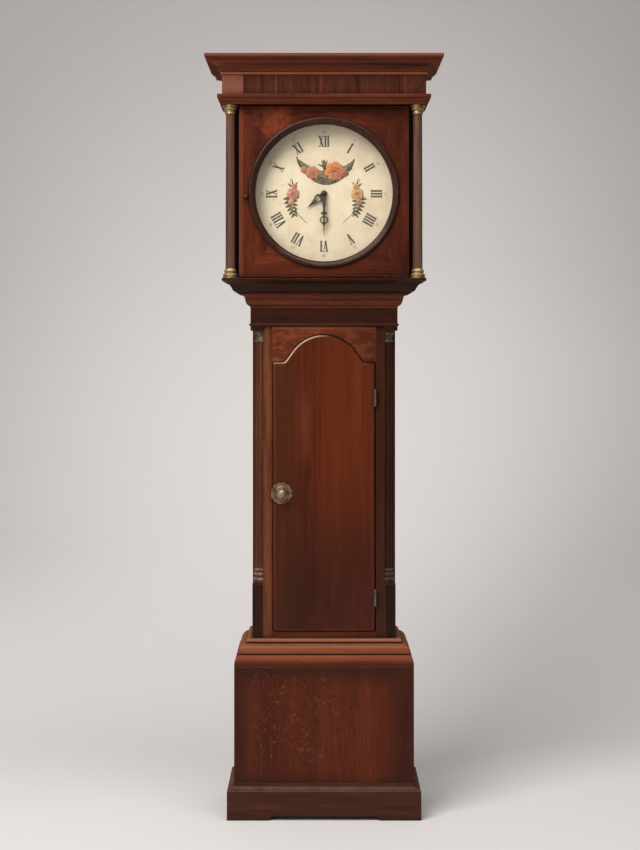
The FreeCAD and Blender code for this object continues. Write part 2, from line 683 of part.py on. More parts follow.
# Trunk door with a stepped edge
edge = door_outline(0, DOOR_Y).cut(door_outline(-EDGE_WIDE, DOOR_Y))
trunk_door = door_outline(0, DOOR_Y).extrude(Vector(0, DOOR_THICK, 0))
trunk_door = trunk_door.cut(edge.extrude(Vector(0, EDGE_STEP, 0)))
latch = (LATCH_X, LATCH_Z)
spindle_hole = rod(latch, DOME_Y, DOOR_BACK_Y, SPINDLE_R + FIT)
save("trunk_door", trunk_door.cut(spindle_hole))

# Brass rosette with a scalloped rim and a raised middle
lobe_step = WHOLE_TURN / ROSETTE_LOBES
rim = [around(latch, ROSETTE_R, -lobe * lobe_step) for lobe in range(ROSETTE_LOBES)]
rosette = slab([(x, z, RING) for x, z in rim], DOME_FOOT_Y, DOOR_Y)
dome = turned_front([(0, DOME_Y), (DOME_TOP_R, DOME_Y), (DOME_FOOT_R, DOME_FOOT_Y), (0, DOME_FOOT_Y)],
                    LATCH_X, LATCH_Z)
save("latch_rosette", rosette.fuse(dome).cut(spindle_hole))

# Ball-fronted knob on a spindle, and the catch that it turns behind the door
bar_back_y = BAR_Y + BAR_THICK
save("latch_knob", turned_front(
    [(0, KNOB_Y), (KNOB_R, KNOB_MIDDLE_Y, QUARTER_ROUND), (KNOB_NECK_R, KNOB_FOOT_Y, QUARTER_ROUND),
     (KNOB_NECK_R, NECK_Y), (SPINDLE_R, NECK_Y), (SPINDLE_R, bar_back_y), (0, bar_back_y)], LATCH_X, LATCH_Z))
catch = box(LATCH_X - BAR_WIDE / 2, LATCH_X + BAR_WIDE / 2, BAR_Y, bar_back_y,
            LATCH_Z - BAR_WIDE / 2, LATCH_Z + BAR_LONG)
save("latch_bar", catch.cut(rod(latch, BAR_Y, bar_back_y, SPINDLE_R)))

# Butt hinges of the trunk door: case leaves with the outer knuckles and pin, door leaves with the middle one
case_leaves = []
door_leaves = []
knuckle = HINGE_TALL / 3
case_leaf_x = OPENING_RIGHT - LEAF
door_leaf_x = TRUNK_DOOR_HALF + LEAF
for low in HINGE_LOWS:
    high = low + HINGE_TALL
    leaf = box(case_leaf_x, OPENING_RIGHT, DOOR_Y, DOOR_Y + LEAF_DEEP, low, high)
    for start, end in ((low, low + knuckle - KNUCKLE_GAP), (high - knuckle + KNUCKLE_GAP, high)):
        leaf = leaf.fuse(post(HINGE_X, HINGE_Y, start, end, KNUCKLE_R))
        leaf = leaf.fuse(box(case_leaf_x, OPENING_RIGHT, HINGE_Y, DOOR_Y, start, end))
    case_leaves.append(leaf.fuse(post(HINGE_X, HINGE_Y, low, high, PIN_R)))
    leaf = box(TRUNK_DOOR_HALF, door_leaf_x, DOOR_Y, DOOR_Y + LEAF_DEEP, low, high)
    leaf = leaf.fuse(post(HINGE_X, HINGE_Y, low + knuckle, high - knuckle, KNUCKLE_R))
    leaf = leaf.fuse(box(TRUNK_DOOR_HALF, door_leaf_x, HINGE_Y, DOOR_Y, low + knuckle, high - knuckle))
    door_leaves.append(leaf.cut(post(HINGE_X, HINGE_Y, low, high, PIN_R + FIT)))
save("trunk_hinge_case_leaves", Part.makeCompound(case_leaves))
save("trunk_hinge_door_leaves", Part.makeCompound(door_leaves))

# Seat board on the trunk cheeks, with two holes for the rope
seat = box(-TRUNK_HALF, TRUNK_HALF, SEAT_Y, SEAT_BACK_Y, SEAT_Z, SEAT_TOP_Z)
for side in (-1, 1):
    seat = seat.cut(post(side * PULLEY_R, ROPE_Y, SEAT_Z, SEAT_TOP_Z, ROPE_HOLE_R))
save("seat_board", seat)

# Hood base moulding, with a hole for the hood door's lower pivot
hood_foot_outline = climbing(HOOD_FOOT_IN, (0, HOOD_Z), HOOD_FOOT_STEPS)
hood_foot = mitred(hood_foot_outline, HOOD_FOOT_HALF, HOOD_Y + HOOD_FOOT_OUT)
pin_hole_r = STRAP_PIN_R + FIT
low_pin_hole = post(STRAP_PIN_X, STRAP_PIN_Y, HOOD_FLOOR_Z - STRAP_PIN_HOLE, HOOD_FLOOR_Z, pin_hole_r)
save("hood_base_moulding", Part.makeCompound([run.cut(low_pin_hole) for run in hood_foot.Solids]))

# Dial mask and sides of the hood
mask = box(-HOOD_BOARD_HALF, HOOD_BOARD_HALF, MASK_Y, MASK_BACK_Y, HOOD_FLOOR_Z, ARCHITRAVE_Z)
save("hood_mask", mask.cut(rod(CENTRE, MASK_Y, MASK_BACK_Y, MASK_R)))
save("hood_sides", pairs(
    box(HOOD_BOARD_HALF - BOARD, HOOD_BOARD_HALF, MASK_BACK_Y, BACK_Y, HOOD_FLOOR_Z, ARCHITRAVE_Z)))

# Architrave with the upper pivot hole, then frieze, cornice and top board
architrave_outline = climbing(ARCHITRAVE_IN, (ARCHITRAVE_FOOT, ARCHITRAVE_Z), ARCHITRAVE_STEPS)
architrave = mitred(architrave_outline, HOOD_HALF, HOOD_Y)
high_pin_hole = post(STRAP_PIN_X, STRAP_PIN_Y, ARCHITRAVE_Z, ARCHITRAVE_Z + STRAP_PIN_HOLE, pin_hole_r)
save("architrave", Part.makeCompound([run.cut(high_pin_hole) for run in architrave.Solids]))
frieze_step = (0, CORNICE_Z - HOOD_FRIEZE_Z)
save("hood_frieze", mitred(climbing(-FRIEZE_BOARD, (0, HOOD_FRIEZE_Z), [frieze_step]), HOOD_HALF, HOOD_Y))
save("cornice", mitred(climbing(-FRIEZE_BOARD, (0, CORNICE_Z), CORNICE_STEPS), HOOD_HALF, HOOD_Y))
top_half = HOOD_HALF - FRIEZE_BOARD
save("hood_top_board", box(-top_half, top_half, HOOD_Y + FRIEZE_BOARD, BACK_Y,
                           CORNICE_Z, CORNICE_Z + TOP_BOARD))

# Hood columns, each with a brass base and capital
shaft_low = HOOD_FLOOR_Z + BRASS_TALL
shaft_high = ARCHITRAVE_Z - BRASS_TALL
hood_column = climbing(0, (HOOD_COLUMN_R, shaft_low), [(-HOOD_COLUMN_TAPER, shaft_high - shaft_low)])
column_base = climbing(0, (BRASS_R, HOOD_FLOOR_Z), COLUMN_BASE_STEPS)
column_capital = climbing(0, (HOOD_COLUMN_R, shaft_high), COLUMN_CAPITAL_STEPS)
save("hood_columns", pairs(turned(hood_column, HOOD_COLUMN_X, HOOD_COLUMN_Y)))
save("hood_column_brasses", pairs(turned(column_base, HOOD_COLUMN_X, HOOD_COLUMN_Y),
                                  turned(column_capital, HOOD_COLUMN_X, HOOD_COLUMN_Y)))

# Brass straps let into the hood door's edges, each with a pivot pin
straps = []
for edge_z, inward in ((HOOD_DOOR_LOW, 1), (HOOD_DOOR_HIGH, -1)):
    strap_low = min(edge_z, edge_z + inward * STRAP_THICK)
    strap = box(HOOD_DOOR_HALF - STRAP_LONG, HOOD_DOOR_HALF, HOOD_DOOR_Y, HOOD_DOOR_BACK_Y,
                strap_low, strap_low + STRAP_THICK)
    pin_end = edge_z - inward * (HOOD_DOOR_CLEAR + STRAP_PIN)
    pin = post(STRAP_PIN_X, STRAP_PIN_Y, min(edge_z, pin_end), max(edge_z, pin_end), STRAP_PIN_R)
    straps.append(strap.fuse(pin))
save("hood_hinge_straps", Part.makeCompound(straps))

# Hood door: two stiles and two rails that meet in mitres round an opening for the glass
corners = [(-HOOD_DOOR_HALF, HOOD_DOOR_LOW), (HOOD_DOOR_HALF, HOOD_DOOR_LOW),
           (HOOD_DOOR_HALF, HOOD_DOOR_HIGH), (-HOOD_DOOR_HALF, HOOD_DOOR_HIGH)]
aperture = rod(CENTRE, HOOD_DOOR_Y, HOOD_DOOR_BACK_Y, APERTURE_R)
glass_seat = rod(CENTRE, GLASS_Y, HOOD_DOOR_BACK_Y, GLASS_R)
members = []
for first, second in zip(corners, corners[1:] + corners[:1]):
    member = slab([first, second, CENTRE], HOOD_DOOR_Y, HOOD_DOOR_BACK_Y)
    member = member.cut(aperture).cut(glass_seat).cut(Part.makeCompound(straps))
    members.append(member.Solids[0])
save("hood_door_frame", Part.makeCompound(members))
save("hood_bezel", turned_front(
    [(APERTURE_R, HOOD_DOOR_Y), (APERTURE_R, GLASS_Y), (BEZEL_INNER_R, GLASS_Y),
     (BEZEL_INNER_R, HOOD_DOOR_Y - BEZEL_LIP), (BEZEL_COVE_R, HOOD_DOOR_Y - BEZEL_PROUD, BEZEL_COVE),
     (BEZEL_BEAD_R, HOOD_DOOR_Y - BEZEL_PROUD), (BEZEL_R, HOOD_DOOR_Y, BEZEL_BEAD)], 0, DIAL_Z))
save("hood_glass", rod(CENTRE, GLASS_Y, GLASS_Y + GLASS_THICK, GLASS_R))

# Small turned pull on the hood door
pull_foot_r = PULL_R + PULL_RING
pull_foot_y = HOOD_DOOR_Y - PULL_FOOT
save("hood_door_knob", turned_front(
    [(0, PULL_Y), (PULL_R, PULL_Y), (pull_foot_r, PULL_Y + PULL_RING, QUARTER_ROUND),
     (PULL_R, PULL_Y + 2 * PULL_RING, QUARTER_ROUND), (PULL_R, pull_foot_y - PULL_FOOT_SLOPE),
     (pull_foot_r, pull_foot_y), (pull_foot_r, HOOD_DOOR_Y), (0, HOOD_DOOR_Y)], HOOD_KNOB_X, HOOD_KNOB_Z))

# Dial and its feet on the front plate
save("dial", rod(CENTRE, DIAL_Y, DIAL_BACK_Y, DIAL_R).cut(rod(CENTRE, DIAL_Y, DIAL_BACK_Y, DIAL_HOLE_R)))
feet = [rod((side * DIAL_FOOT_X, DIAL_Z + rise), DIAL_BACK_Y, PLATE_Y, DIAL_FOOT_R)
        for side in (-1, 1) for rise in DIAL_FOOT_RISES]
save("dial_feet", Part.makeCompound(feet))

# Movement plates, with a stud on the front one for the minute wheel, and the pillars between them
minute = around(CENTRE, MOTION_RUN, MOTION_AT)
front_plate = box(-PLATE_HALF, PLATE_HALF, PLATE_Y, INSIDE_Y, SEAT_TOP_Z, DIAL_Z + PLATE_HIGH)
back_plate = box(-PLATE_HALF, PLATE_HALF, REAR_PLATE_Y, REAR_Y, SEAT_TOP_Z, DIAL_Z + PLATE_HIGH)
for place, pivot in ((GREAT, GREAT_PIVOT_R), (CENTRE, CENTRE_R), (THIRD, PIVOT_R), (ESCAPE, PIVOT_R)):
    front_plate = front_plate.cut(rod(place, PLATE_Y, INSIDE_Y, pivot + FIT))
    back_plate = back_plate.cut(rod(place, REAR_PLATE_Y, REAR_Y, pivot + FIT))
front_plate = front_plate.cut(rod(PALLET, PLATE_Y, INSIDE_Y, PIVOT_R + FIT))
save("front_plate", front_plate.fuse(rod(minute, STUD_Y, PLATE_Y, STUD_R)))
save("back_plate", back_plate.cut(rod(PALLET, REAR_PLATE_Y, REAR_Y, PALLET_ROOM_R)))
end_long = sum(step[1] for step in PILLAR_END_STEPS)
swell_long = PLATE_GAP / 2 - end_long
swell_steps = [(PILLAR_SWELL, swell_long, PILLAR_BOW), (-PILLAR_SWELL, swell_long, PILLAR_BOW)]
far_end_steps = [(-PILLAR_END_STEPS[1][0],) + PILLAR_END_STEPS[1][1:], PILLAR_END_STEPS[0]]
pillar_outline = climbing(0, (PILLAR_R, INSIDE_Y), PILLAR_END_STEPS + swell_steps + far_end_steps)
save("plate_pillars", Part.makeCompound(
    [turned_front(pillar_outline, side * PILLAR_X, DIAL_Z + rise)
     for side in (-1, 1) for rise in PILLAR_RISES]))

# Going train: great wheel, centre wheel, third wheel and escape wheel
great_wheel = wheel(GREAT_TEETH, GREAT_MODULE, GREAT, INSIDE_Y + GREAT_AT, clock_angle(GREAT, CENTRE))
save("great_wheel", great_wheel.fuse(arbor(GREAT, GREAT_ARBOR_R, GREAT_PIVOT_R)))

pinion_y, pinion_back_y = [INSIDE_Y + at for at in CENTRE_PINION_AT]
centre_wheel = wheel(CENTRE_TEETH, CENTRE_MODULE, CENTRE, INSIDE_Y + CENTRE_AT, clock_angle(CENTRE, THIRD))
centre_wheel = centre_wheel.fuse(pinion(CENTRE_LEAVES, GREAT_MODULE, CENTRE, GREAT, pinion_y, pinion_back_y))
centre_wheel = centre_wheel.fuse(arbor(CENTRE, ARBOR_R, CENTRE_R))
save("centre_wheel", centre_wheel.fuse(rod(CENTRE, ARBOR_END_Y, pinion_y, CENTRE_R)))

pinion_y, pinion_back_y = [INSIDE_Y + at for at in THIRD_PINION_AT]
third_wheel = wheel(THIRD_TEETH, THIRD_MODULE, THIRD, INSIDE_Y + THIRD_AT, clock_angle(THIRD, ESCAPE))
third_wheel = third_wheel.fuse(pinion(THIRD_LEAVES, CENTRE_MODULE, THIRD, CENTRE, pinion_y, pinion_back_y))
save("third_wheel", third_wheel.fuse(arbor(THIRD)))

pinion_y, pinion_back_y = [INSIDE_Y + at for at in ESCAPE_PINION_AT]
escape_y = INSIDE_Y + ESCAPE_AT
escape_step = WHOLE_TURN / ESCAPE_TEETH
escape_points = []
for tooth in range(ESCAPE_TEETH):
    at = -(tooth + 0.5) * escape_step
    escape_points.append(around(ESCAPE, ESCAPE_ROOT_R, at + ESCAPE_LEAN))
    escape_points.append(around(ESCAPE, ESCAPE_R, at + ESCAPE_TIP))
    escape_points.append(around(ESCAPE, ESCAPE_R, at))
    escape_points.append(around(ESCAPE, ESCAPE_ROOT_R, at + ESCAPE_LEAN - escape_step / 2))
escape_wheel = slab(escape_points, escape_y, escape_y + WHEEL)
escape_wheel = crossed(escape_wheel, ESCAPE, ESCAPE_HUB_R, ESCAPE_RIM_R, escape_y, escape_y + WHEEL)
escape_wheel = escape_wheel.fuse(pinion(ESCAPE_LEAVES, THIRD_MODULE, ESCAPE, THIRD, pinion_y, pinion_back_y))
save("escape_wheel", escape_wheel.fuse(arbor(ESCAPE)))

# Pallets on their arbor
pallet_y = escape_y + WHEEL / 2 - PALLET_THICK / 2
pallet_back_y = pallet_y + PALLET_THICK
pallets = rod(PALLET, pallet_y, pallet_back_y, PALLET_HUB_R)
for side in (-1, 1):
    tip = around(ESCAPE, ESCAPE_R + NIB_CLEAR, side * NIB_AT)
    root = around(ESCAPE, ESCAPE_R + NIB_CLEAR + NIB_LONG, side * NIB_AT)
    elbow = around(ESCAPE, ESCAPE_R + NIB_CLEAR + NIB_LONG - ARM_WIDE / 2, side * NIB_AT)
    pallets = pallets.fuse(bar(tip, root, NIB_WIDE, pallet_y, pallet_back_y))
    pallets = pallets.fuse(bar(elbow, PALLET, ARM_WIDE, pallet_y, pallet_back_y))
pallets = pallets.fuse(rod(PALLET, INSIDE_Y + END_PLAY, COCK_Y - END_PLAY, ARBOR_R))
pallets = pallets.fuse(rod(PALLET, PLATE_Y, COCK_BACK_Y, PIVOT_R))

# Crutch on the same arbor, whose fork holds the pendulum rod
crutch_back_y = CRUTCH_Y + CRUTCH_THICK
fork_z = PALLET[1] - CRUTCH_DROP
fork_low = fork_z - FORK_TALL
fork_half = ROD_R + FORK_CLEAR
fork_out = fork_half + FORK_WIDE
pallets = pallets.fuse(bar(PALLET, (0, fork_z), CRUTCH_WIDE, CRUTCH_Y, crutch_back_y))
pallets = pallets.fuse(rod(PALLET, CRUTCH_Y, crutch_back_y, CRUTCH_HUB_R))
pallets = pallets.fuse(box(-fork_out, fork_out, CRUTCH_Y, crutch_back_y, fork_low, fork_z))
for side in (-1, 1):
    pallets = pallets.fuse(side_box(side, fork_half, fork_out, CRUTCH_Y, PENDULUM_Y + ROD_R, fork_low, fork_z))
save("pallets", pallets)

# Back cock: two feet on the back plate, a bridge for the pallet arbor and a lug for the pendulum
cock_low = PALLET[1] - COCK_DOWN
cock_high = PALLET[1] + COCK_UP
lug_back_y = PENDULUM_Y + LUG_BACK
cock = box(-COCK_HALF, COCK_HALF, COCK_Y, COCK_BACK_Y, cock_low, cock_high)
for side in (-1, 1):
    cock = cock.fuse(side_box(side, COCK_HALF - COCK_FOOT, COCK_HALF, REAR_Y, COCK_Y, cock_low, cock_high))
cock = cock.fuse(box(-LUG_HALF, LUG_HALF, COCK_Y, lug_back_y, PALLET[1] + LUG_ARM_UP, cock_high))
cock = cock.fuse(box(-LUG_HALF, LUG_HALF, PENDULUM_Y - LUG_FRONT, lug_back_y, PALLET[1] + LUG_LIFT, cock_high))
save("back_cock", cock.cut(rod(PALLET, COCK_Y, COCK_BACK_Y, PIVOT_R + FIT)))

# Motion work: cannon pinion, minute wheel and hour wheel
wheel_back_y = WHEEL_Y + WHEEL
hour_back_y = HOUR_Y + WHEEL
minute_at = clock_angle(CENTRE, minute)
cannon = gear(CANNON_TEETH, MOTION_MODULE, EQUAL_FORM, CENTRE, WHEEL_Y, wheel_back_y, minute_at)
cannon = cannon.fuse(rod(CENTRE, MINUTE_HAND_Y, wheel_back_y + CANNON_TAIL, CANNON_R))
save("cannon_pinion", cannon.cut(rod(CENTRE, MINUTE_HAND_Y, PLATE_Y, CENTRE_R + PRESS)))
gap_at = clock_angle(minute, CENTRE) + HALF_TURN / MINUTE_TEETH
minute_wheel = gear(MINUTE_TEETH, MOTION_MODULE, EQUAL_FORM, minute, WHEEL_Y, wheel_back_y, gap_at)
minute_wheel = minute_wheel.fuse(
    pinion(HOUR_LEAVES, HOUR_MODULE, minute, CENTRE, PLATE_Y - MINUTE_PINION_LIFT, WHEEL_Y))
save("minute_wheel", minute_wheel.cut(rod(minute, STUD_Y, PLATE_Y, STUD_R + FIT)))
hour_wheel = wheel(HOUR_TEETH, HOUR_MODULE, CENTRE, HOUR_Y, minute_at)
hour_wheel = hour_wheel.fuse(rod(CENTRE, HOUR_HAND_Y, hour_back_y, PIPE_R))
save("hour_wheel", hour_wheel.cut(rod(CENTRE, HOUR_HAND_Y, hour_back_y, CANNON_R + PIPE_CLEAR)))


def hand(outline, boss_r, bore_r, y, at):
    """A flat hand from the right half of its outline, drawn pointing up and turned to its angle."""
    right = [(x, DIAL_Z + rise) for x, rise in outline]
    left = [(-x, z) for x, z in reversed(right) if x > 0]
    shape = slab(right + left, y, y + HAND_THICK).fuse(rod(CENTRE, y, y + HAND_THICK, boss_r))
    shape = shape.cut(rod(CENTRE, y, y + HAND_THICK, bore_r))
    shape.rotate(Vector(0, 0, DIAL_Z), Vector(0, 1, 0), at)
    return shape


# Hands, and the collet that holds them on the centre arbor
save("hour_hand", hand(HOUR_OUTLINE, HOUR_BOSS_R, PIPE_R, HOUR_HAND_Y, HOUR_HAND_AT))
save("minute_hand", hand(MINUTE_OUTLINE, MINUTE_BOSS_R, CANNON_R, MINUTE_HAND_Y, MINUTE_HAND_AT))
collet_y = MINUTE_HAND_Y - COLLET_TALL
save("hand_collet", turned_front(
    [(CENTRE_R, collet_y), (COLLET_TOP_R, collet_y), (COLLET_FOOT_R, MINUTE_HAND_Y, COLLET_BOW),
     (CENTRE_R, MINUTE_HAND_Y)], 0, DIAL_Z))

# Rope pulley on the great arbor
pulley_bore_r = GREAT_ARBOR_R + FIT
groove_r = PULLEY_R - ROPE_R - ROPE_CLEAR
groove_half = ROPE_R + ROPE_CLEAR
mouth_half = groove_half + GROOVE_SLOPE
save("rope_pulley", turned_front(
    [(pulley_bore_r, ROPE_Y - PULLEY_HALF), (PULLEY_FLANGE, ROPE_Y - PULLEY_HALF),
     (PULLEY_FLANGE, ROPE_Y - mouth_half), (groove_r, ROPE_Y - groove_half), (groove_r, ROPE_Y + groove_half),
     (PULLEY_FLANGE, ROPE_Y + mouth_half), (PULLEY_FLANGE, ROPE_Y + PULLEY_HALF),
     (pulley_bore_r, ROPE_Y + PULLEY_HALF)], GREAT[0], GREAT[1]))

# Rope: a half turn over the pulley, and two straight falls
weight_top = WEIGHT_LOW + WEIGHT_TALL + NECK
counter_top = COUNTER_LOW + COUNTER_TALL + NECK
bend = Part.makeTorus(PULLEY_R, ROPE_R, Vector(GREAT[0], ROPE_Y, GREAT[1]), Vector(0, -1, 0))
bend = bend.common(box(-PULLEY_FLANGE, PULLEY_FLANGE, ROPE_Y - ROPE_R, ROPE_Y + ROPE_R,
                       GREAT[1], GREAT[1] + PULLEY_FLANGE))
rope = bend.fuse(post(PULLEY_R, ROPE_Y, weight_top, GREAT[1], ROPE_R))
save("rope", rope.fuse(post(-PULLEY_R, ROPE_Y, counter_top, GREAT[1], ROPE_R)))


def hanging(low, tall, radius, x):
    """A turned weight with a narrow neck that takes the rope's end."""
    top = low + tall
    return turned(
        [(0, low), (radius - WEIGHT_EDGE, low), (radius, low + WEIGHT_EDGE, QUARTER_ROUND),
         (radius, top - WEIGHT_EDGE), (NECK_R + WEIGHT_EDGE, top), (NECK_R, top + WEIGHT_EDGE),
         (NECK_R, top + NECK), (0, top + NECK)], x, ROPE_Y)


save("weight", hanging(WEIGHT_LOW, WEIGHT_TALL, WEIGHT_R, PULLEY_R))
save("counterweight", hanging(COUNTER_LOW, COUNTER_TALL, COUNTER_R, -PULLEY_R))

# Pendulum rod with its spring strip
bob_z = PALLET[1] - PENDULUM
bob_low = bob_z - BOB_R
rod_low = bob_low - ROD_TAIL
spring_z = PALLET[1] - SPRING
spring_y = PENDULUM_Y - SPRING_HALF
spring_back_y = PENDULUM_Y + SPRING_HALF
spring = box(-SPRING_HALF, SPRING_HALF, spring_y, spring_back_y, spring_z - SPRING_BLOCK, spring_z)
spring = spring.fuse(box(-SPRING_THICK / 2, SPRING_THICK / 2, spring_y, spring_back_y, spring_z, PALLET[1]))
save("pendulum_rod", spring.fuse(post(0, PENDULUM_Y, rod_low, spring_z - SPRING_BLOCK / 2, ROD_R)))

# Lens-shaped bob, drilled for the rod, and the rating nut under it
bob_rise = BOB_THICK / 2 - BOB_RIM
bob_ball_r = (BOB_R ** 2 + bob_rise ** 2) / (2 * bob_rise)
bob = rod((0, bob_z), PENDULUM_Y - BOB_THICK / 2, PENDULUM_Y + BOB_THICK / 2, BOB_R)
bob = bob.cut(post(0, PENDULUM_Y, rod_low, PALLET[1], ROD_R + PRESS))
for facing in (-1, 1):
    ball_y = PENDULUM_Y + facing * (bob_ball_r - BOB_THICK / 2)
    bob = bob.common(Part.makeSphere(bob_ball_r, Vector(0, ball_y, bob_z)))
save("pendulum_bob", bob)
nut_low = bob_low - NUT_TALL
nut_bore_r = ROD_R + PRESS
save("rating_nut", turned(
    [(nut_bore_r, nut_low), (NUT_R - NUT_EDGE, nut_low), (NUT_R, nut_low + NUT_EDGE),
     (NUT_R, bob_low - NUT_EDGE), (NUT_R - NUT_EDGE, bob_low), (nut_bore_r, bob_low)], 0, PENDULUM_Y))
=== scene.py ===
# %% [markdown]
# # A longcase clock, dressed for its portrait
#
# The clock comes from the CAD model as named pieces on moving bodies. This lesson puts finishes on them and
# adds what a joiner's drawing leaves out: painted flowers, numerals, filed hands, a twisted rope. The frame
# is loaded first, because every later piece is placed in its coordinates, in metres.

# %% Load the frame
import bmesh
import bpy
import math
import random
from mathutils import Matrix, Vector


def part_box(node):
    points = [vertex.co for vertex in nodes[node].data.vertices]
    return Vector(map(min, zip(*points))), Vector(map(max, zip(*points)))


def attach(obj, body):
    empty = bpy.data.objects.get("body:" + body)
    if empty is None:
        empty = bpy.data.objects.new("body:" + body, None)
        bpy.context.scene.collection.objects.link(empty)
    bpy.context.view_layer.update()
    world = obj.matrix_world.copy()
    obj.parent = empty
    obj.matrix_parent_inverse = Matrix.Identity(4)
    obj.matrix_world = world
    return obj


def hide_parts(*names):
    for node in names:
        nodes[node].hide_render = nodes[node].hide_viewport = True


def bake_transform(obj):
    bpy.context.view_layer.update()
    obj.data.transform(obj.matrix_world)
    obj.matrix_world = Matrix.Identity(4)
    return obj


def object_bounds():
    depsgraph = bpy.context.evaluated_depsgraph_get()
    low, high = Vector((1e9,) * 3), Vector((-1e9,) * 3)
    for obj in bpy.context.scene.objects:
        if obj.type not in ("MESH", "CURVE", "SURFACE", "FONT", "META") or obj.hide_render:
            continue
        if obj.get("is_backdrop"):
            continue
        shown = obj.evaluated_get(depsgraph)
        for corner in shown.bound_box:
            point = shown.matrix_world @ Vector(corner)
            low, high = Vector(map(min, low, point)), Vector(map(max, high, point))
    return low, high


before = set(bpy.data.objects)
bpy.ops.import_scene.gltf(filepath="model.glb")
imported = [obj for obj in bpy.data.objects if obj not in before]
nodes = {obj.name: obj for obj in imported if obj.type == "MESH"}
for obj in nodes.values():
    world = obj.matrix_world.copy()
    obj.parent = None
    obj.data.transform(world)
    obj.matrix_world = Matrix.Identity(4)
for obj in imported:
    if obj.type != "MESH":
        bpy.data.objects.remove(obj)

scene = bpy.context.scene
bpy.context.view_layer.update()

# %% [markdown]
# ## The camera
#
# The portrait was taken from straight in front, at about chest height, with a long lens. The camera stays
# level, so upright edges stay upright, and the vertical shift frames the whole case instead of a tilt.

# %% Camera at the photograph's angle
camera = bpy.data.objects.new("portrait_camera", bpy.data.cameras.new("portrait_camera"))
scene.collection.objects.link(camera)
camera.location = (-0.010, -4.298, 1.172)
camera.rotation_euler = (math.radians(90.0), 0.0, 0.0)
camera.data.lens = 72.17
camera.data.shift_y = -0.094
scene.camera = camera
scene.view_settings.view_transform = "Standard"
print("camera at", tuple(camera.location), "lens", camera.data.lens)

# %% [markdown]
# ## Small helpers for shader nodes
#
# A material is a little machine of connected nodes. `add` makes a node and `connect` fills its sockets by
# name: a socket is linked, anything else becomes the socket's own value. Every socket knows the tree that it
# belongs to, so most helpers find their tree from what they are given.

# %% Helpers that make and fill nodes
def linear(red, green, blue):
    """A screen colour from 0 to 255 as the linear values that shaders use."""
    shares = [channel / 255.0 for channel in (red, green, blue)]
    curved = [share / 12.92 if share < 0.04045 else ((share + 0.055) / 1.055) ** 2.4 for share in shares]
    return (*curved, 1.0)


def fill(socket, value):
    if isinstance(value, bpy.types.NodeSocket):
        socket.id_data.links.new(value, socket)
    else:
        socket.default_value = value


def connect(node, **sockets):
    """Fill a node's sockets; underscores in a keyword stand for spaces."""
    for key, value in sockets.items():
        fill(node.inputs[key.replace("_", " ")], value)
    return node


def add(tree, kind, settings=None, **sockets):
    made = tree.nodes.new("ShaderNode" + kind)
    for key, value in (settings or {}).items():
        setattr(made, key, value)
    return connect(made, **sockets)


def worked(kind, settings, values, sockets=(0, 1, 2)):
    """The outputs of a node in its values' tree, filled in order because its sockets share names."""
    tree = next(value.id_data for value in values if isinstance(value, bpy.types.NodeSocket))
    made = add(tree, kind, settings)
    for index, value in zip(sockets, values):
        fill(made.inputs[index], value)
    return made.outputs


print("node helpers ready")

# %% [markdown]
# These helpers calculate with numbers, vectors and colours. Each hands back an output socket, which can go
# straight into the next one.

# %% Helpers that calculate
MIX_SOCKETS = {"RGBA": ((0, 6, 7), 2), "VECTOR": ((0, 4, 5), 1)}


def sums(operation, *values, clamp=False):
    return worked("Math", {"operation": operation, "use_clamp": clamp}, values)[0]


def times(product, *factors):
    for factor in factors:
        product = sums("MULTIPLY", product, factor)
    return product


def scaled(value, gain, start):
    return sums("MULTIPLY_ADD", value, gain, start)


def vectors(operation, first, second):
    """A vector node's result: a value for a distance or a dot product, else a vector."""
    result = "Value" if operation in ("DISTANCE", "DOT_PRODUCT") else "Vector"
    return worked("VectorMath", {"operation": operation}, (first, second))[result]


def stretched(vector, along):
    """The vector with each axis multiplied, to draw a pattern out along the grain."""
    return vectors("MULTIPLY", vector, along)


def split(vector):
    return add(vector.id_data, "SeparateXYZ", Vector=vector).outputs


def join(*axes):
    return worked("CombineXYZ", {}, axes)[0]


def mixed(kind, share, first, second):
    sockets, result = MIX_SOCKETS[kind]
    return worked("Mix", {"data_type": kind}, (share, first, second), sockets)[result]


def painted(colour, *coats):
    """The colour under coats of paint: each is a screen tone and the masks whose product is its share."""
    for tone, *shares in coats:
        colour = mixed("RGBA", times(*shares), colour, linear(*tone))
    return colour


print("calculating helpers ready")

# %% [markdown]
# Patterns come from noise, and `ramp` turns a stretch of a pattern or of a coordinate into a soft mask.

# %% Helpers that make patterns
def ramp(value, low, high, start=0.0, end=1.0):
    """The value eased from start to end while it goes from low to high."""
    return add(value.id_data, "MapRange", {"interpolation_type": "SMOOTHSTEP"}, Value=value, From_Min=low,
               From_Max=high, To_Min=start, To_Max=end).outputs[0]


def inside(value, low, high, soft):
    """A mask that is 1 between low and high, with soft sides."""
    return times(ramp(value, low - soft, low + soft), ramp(value, high + soft, high - soft))


def noise(vector, scale, detail=2.0, roughness=0.5, distortion=0.0):
    return add(vector.id_data, "TexNoise", Vector=vector, Scale=scale, Detail=detail, Roughness=roughness,
               Distortion=distortion).outputs["Fac"]


def wandering(vector, scale, reach):
    """The vector pushed about by a coloured noise, so that a straight pattern wavers."""
    push = add(vector.id_data, "TexNoise", Vector=vector, Scale=scale, Detail=2.0).outputs["Color"]
    return vectors("ADD", vector, stretched(push, (reach, reach, reach)))


def bump(height, strength, distance, **normal):
    """The normal of a surface with fine relief."""
    return add(height.id_data, "Bump", Height=height, Strength=strength, Distance=distance,
               **normal).outputs[0]


print("pattern helpers ready")

# %% [markdown]
# An effect that several finishes need is a node group with named sockets. Every group here takes coordinates
# and a few values, and gives masks, values or a normal. A material starts from its Principled node and from
# coordinates in the frame, so a pattern stays on its piece.

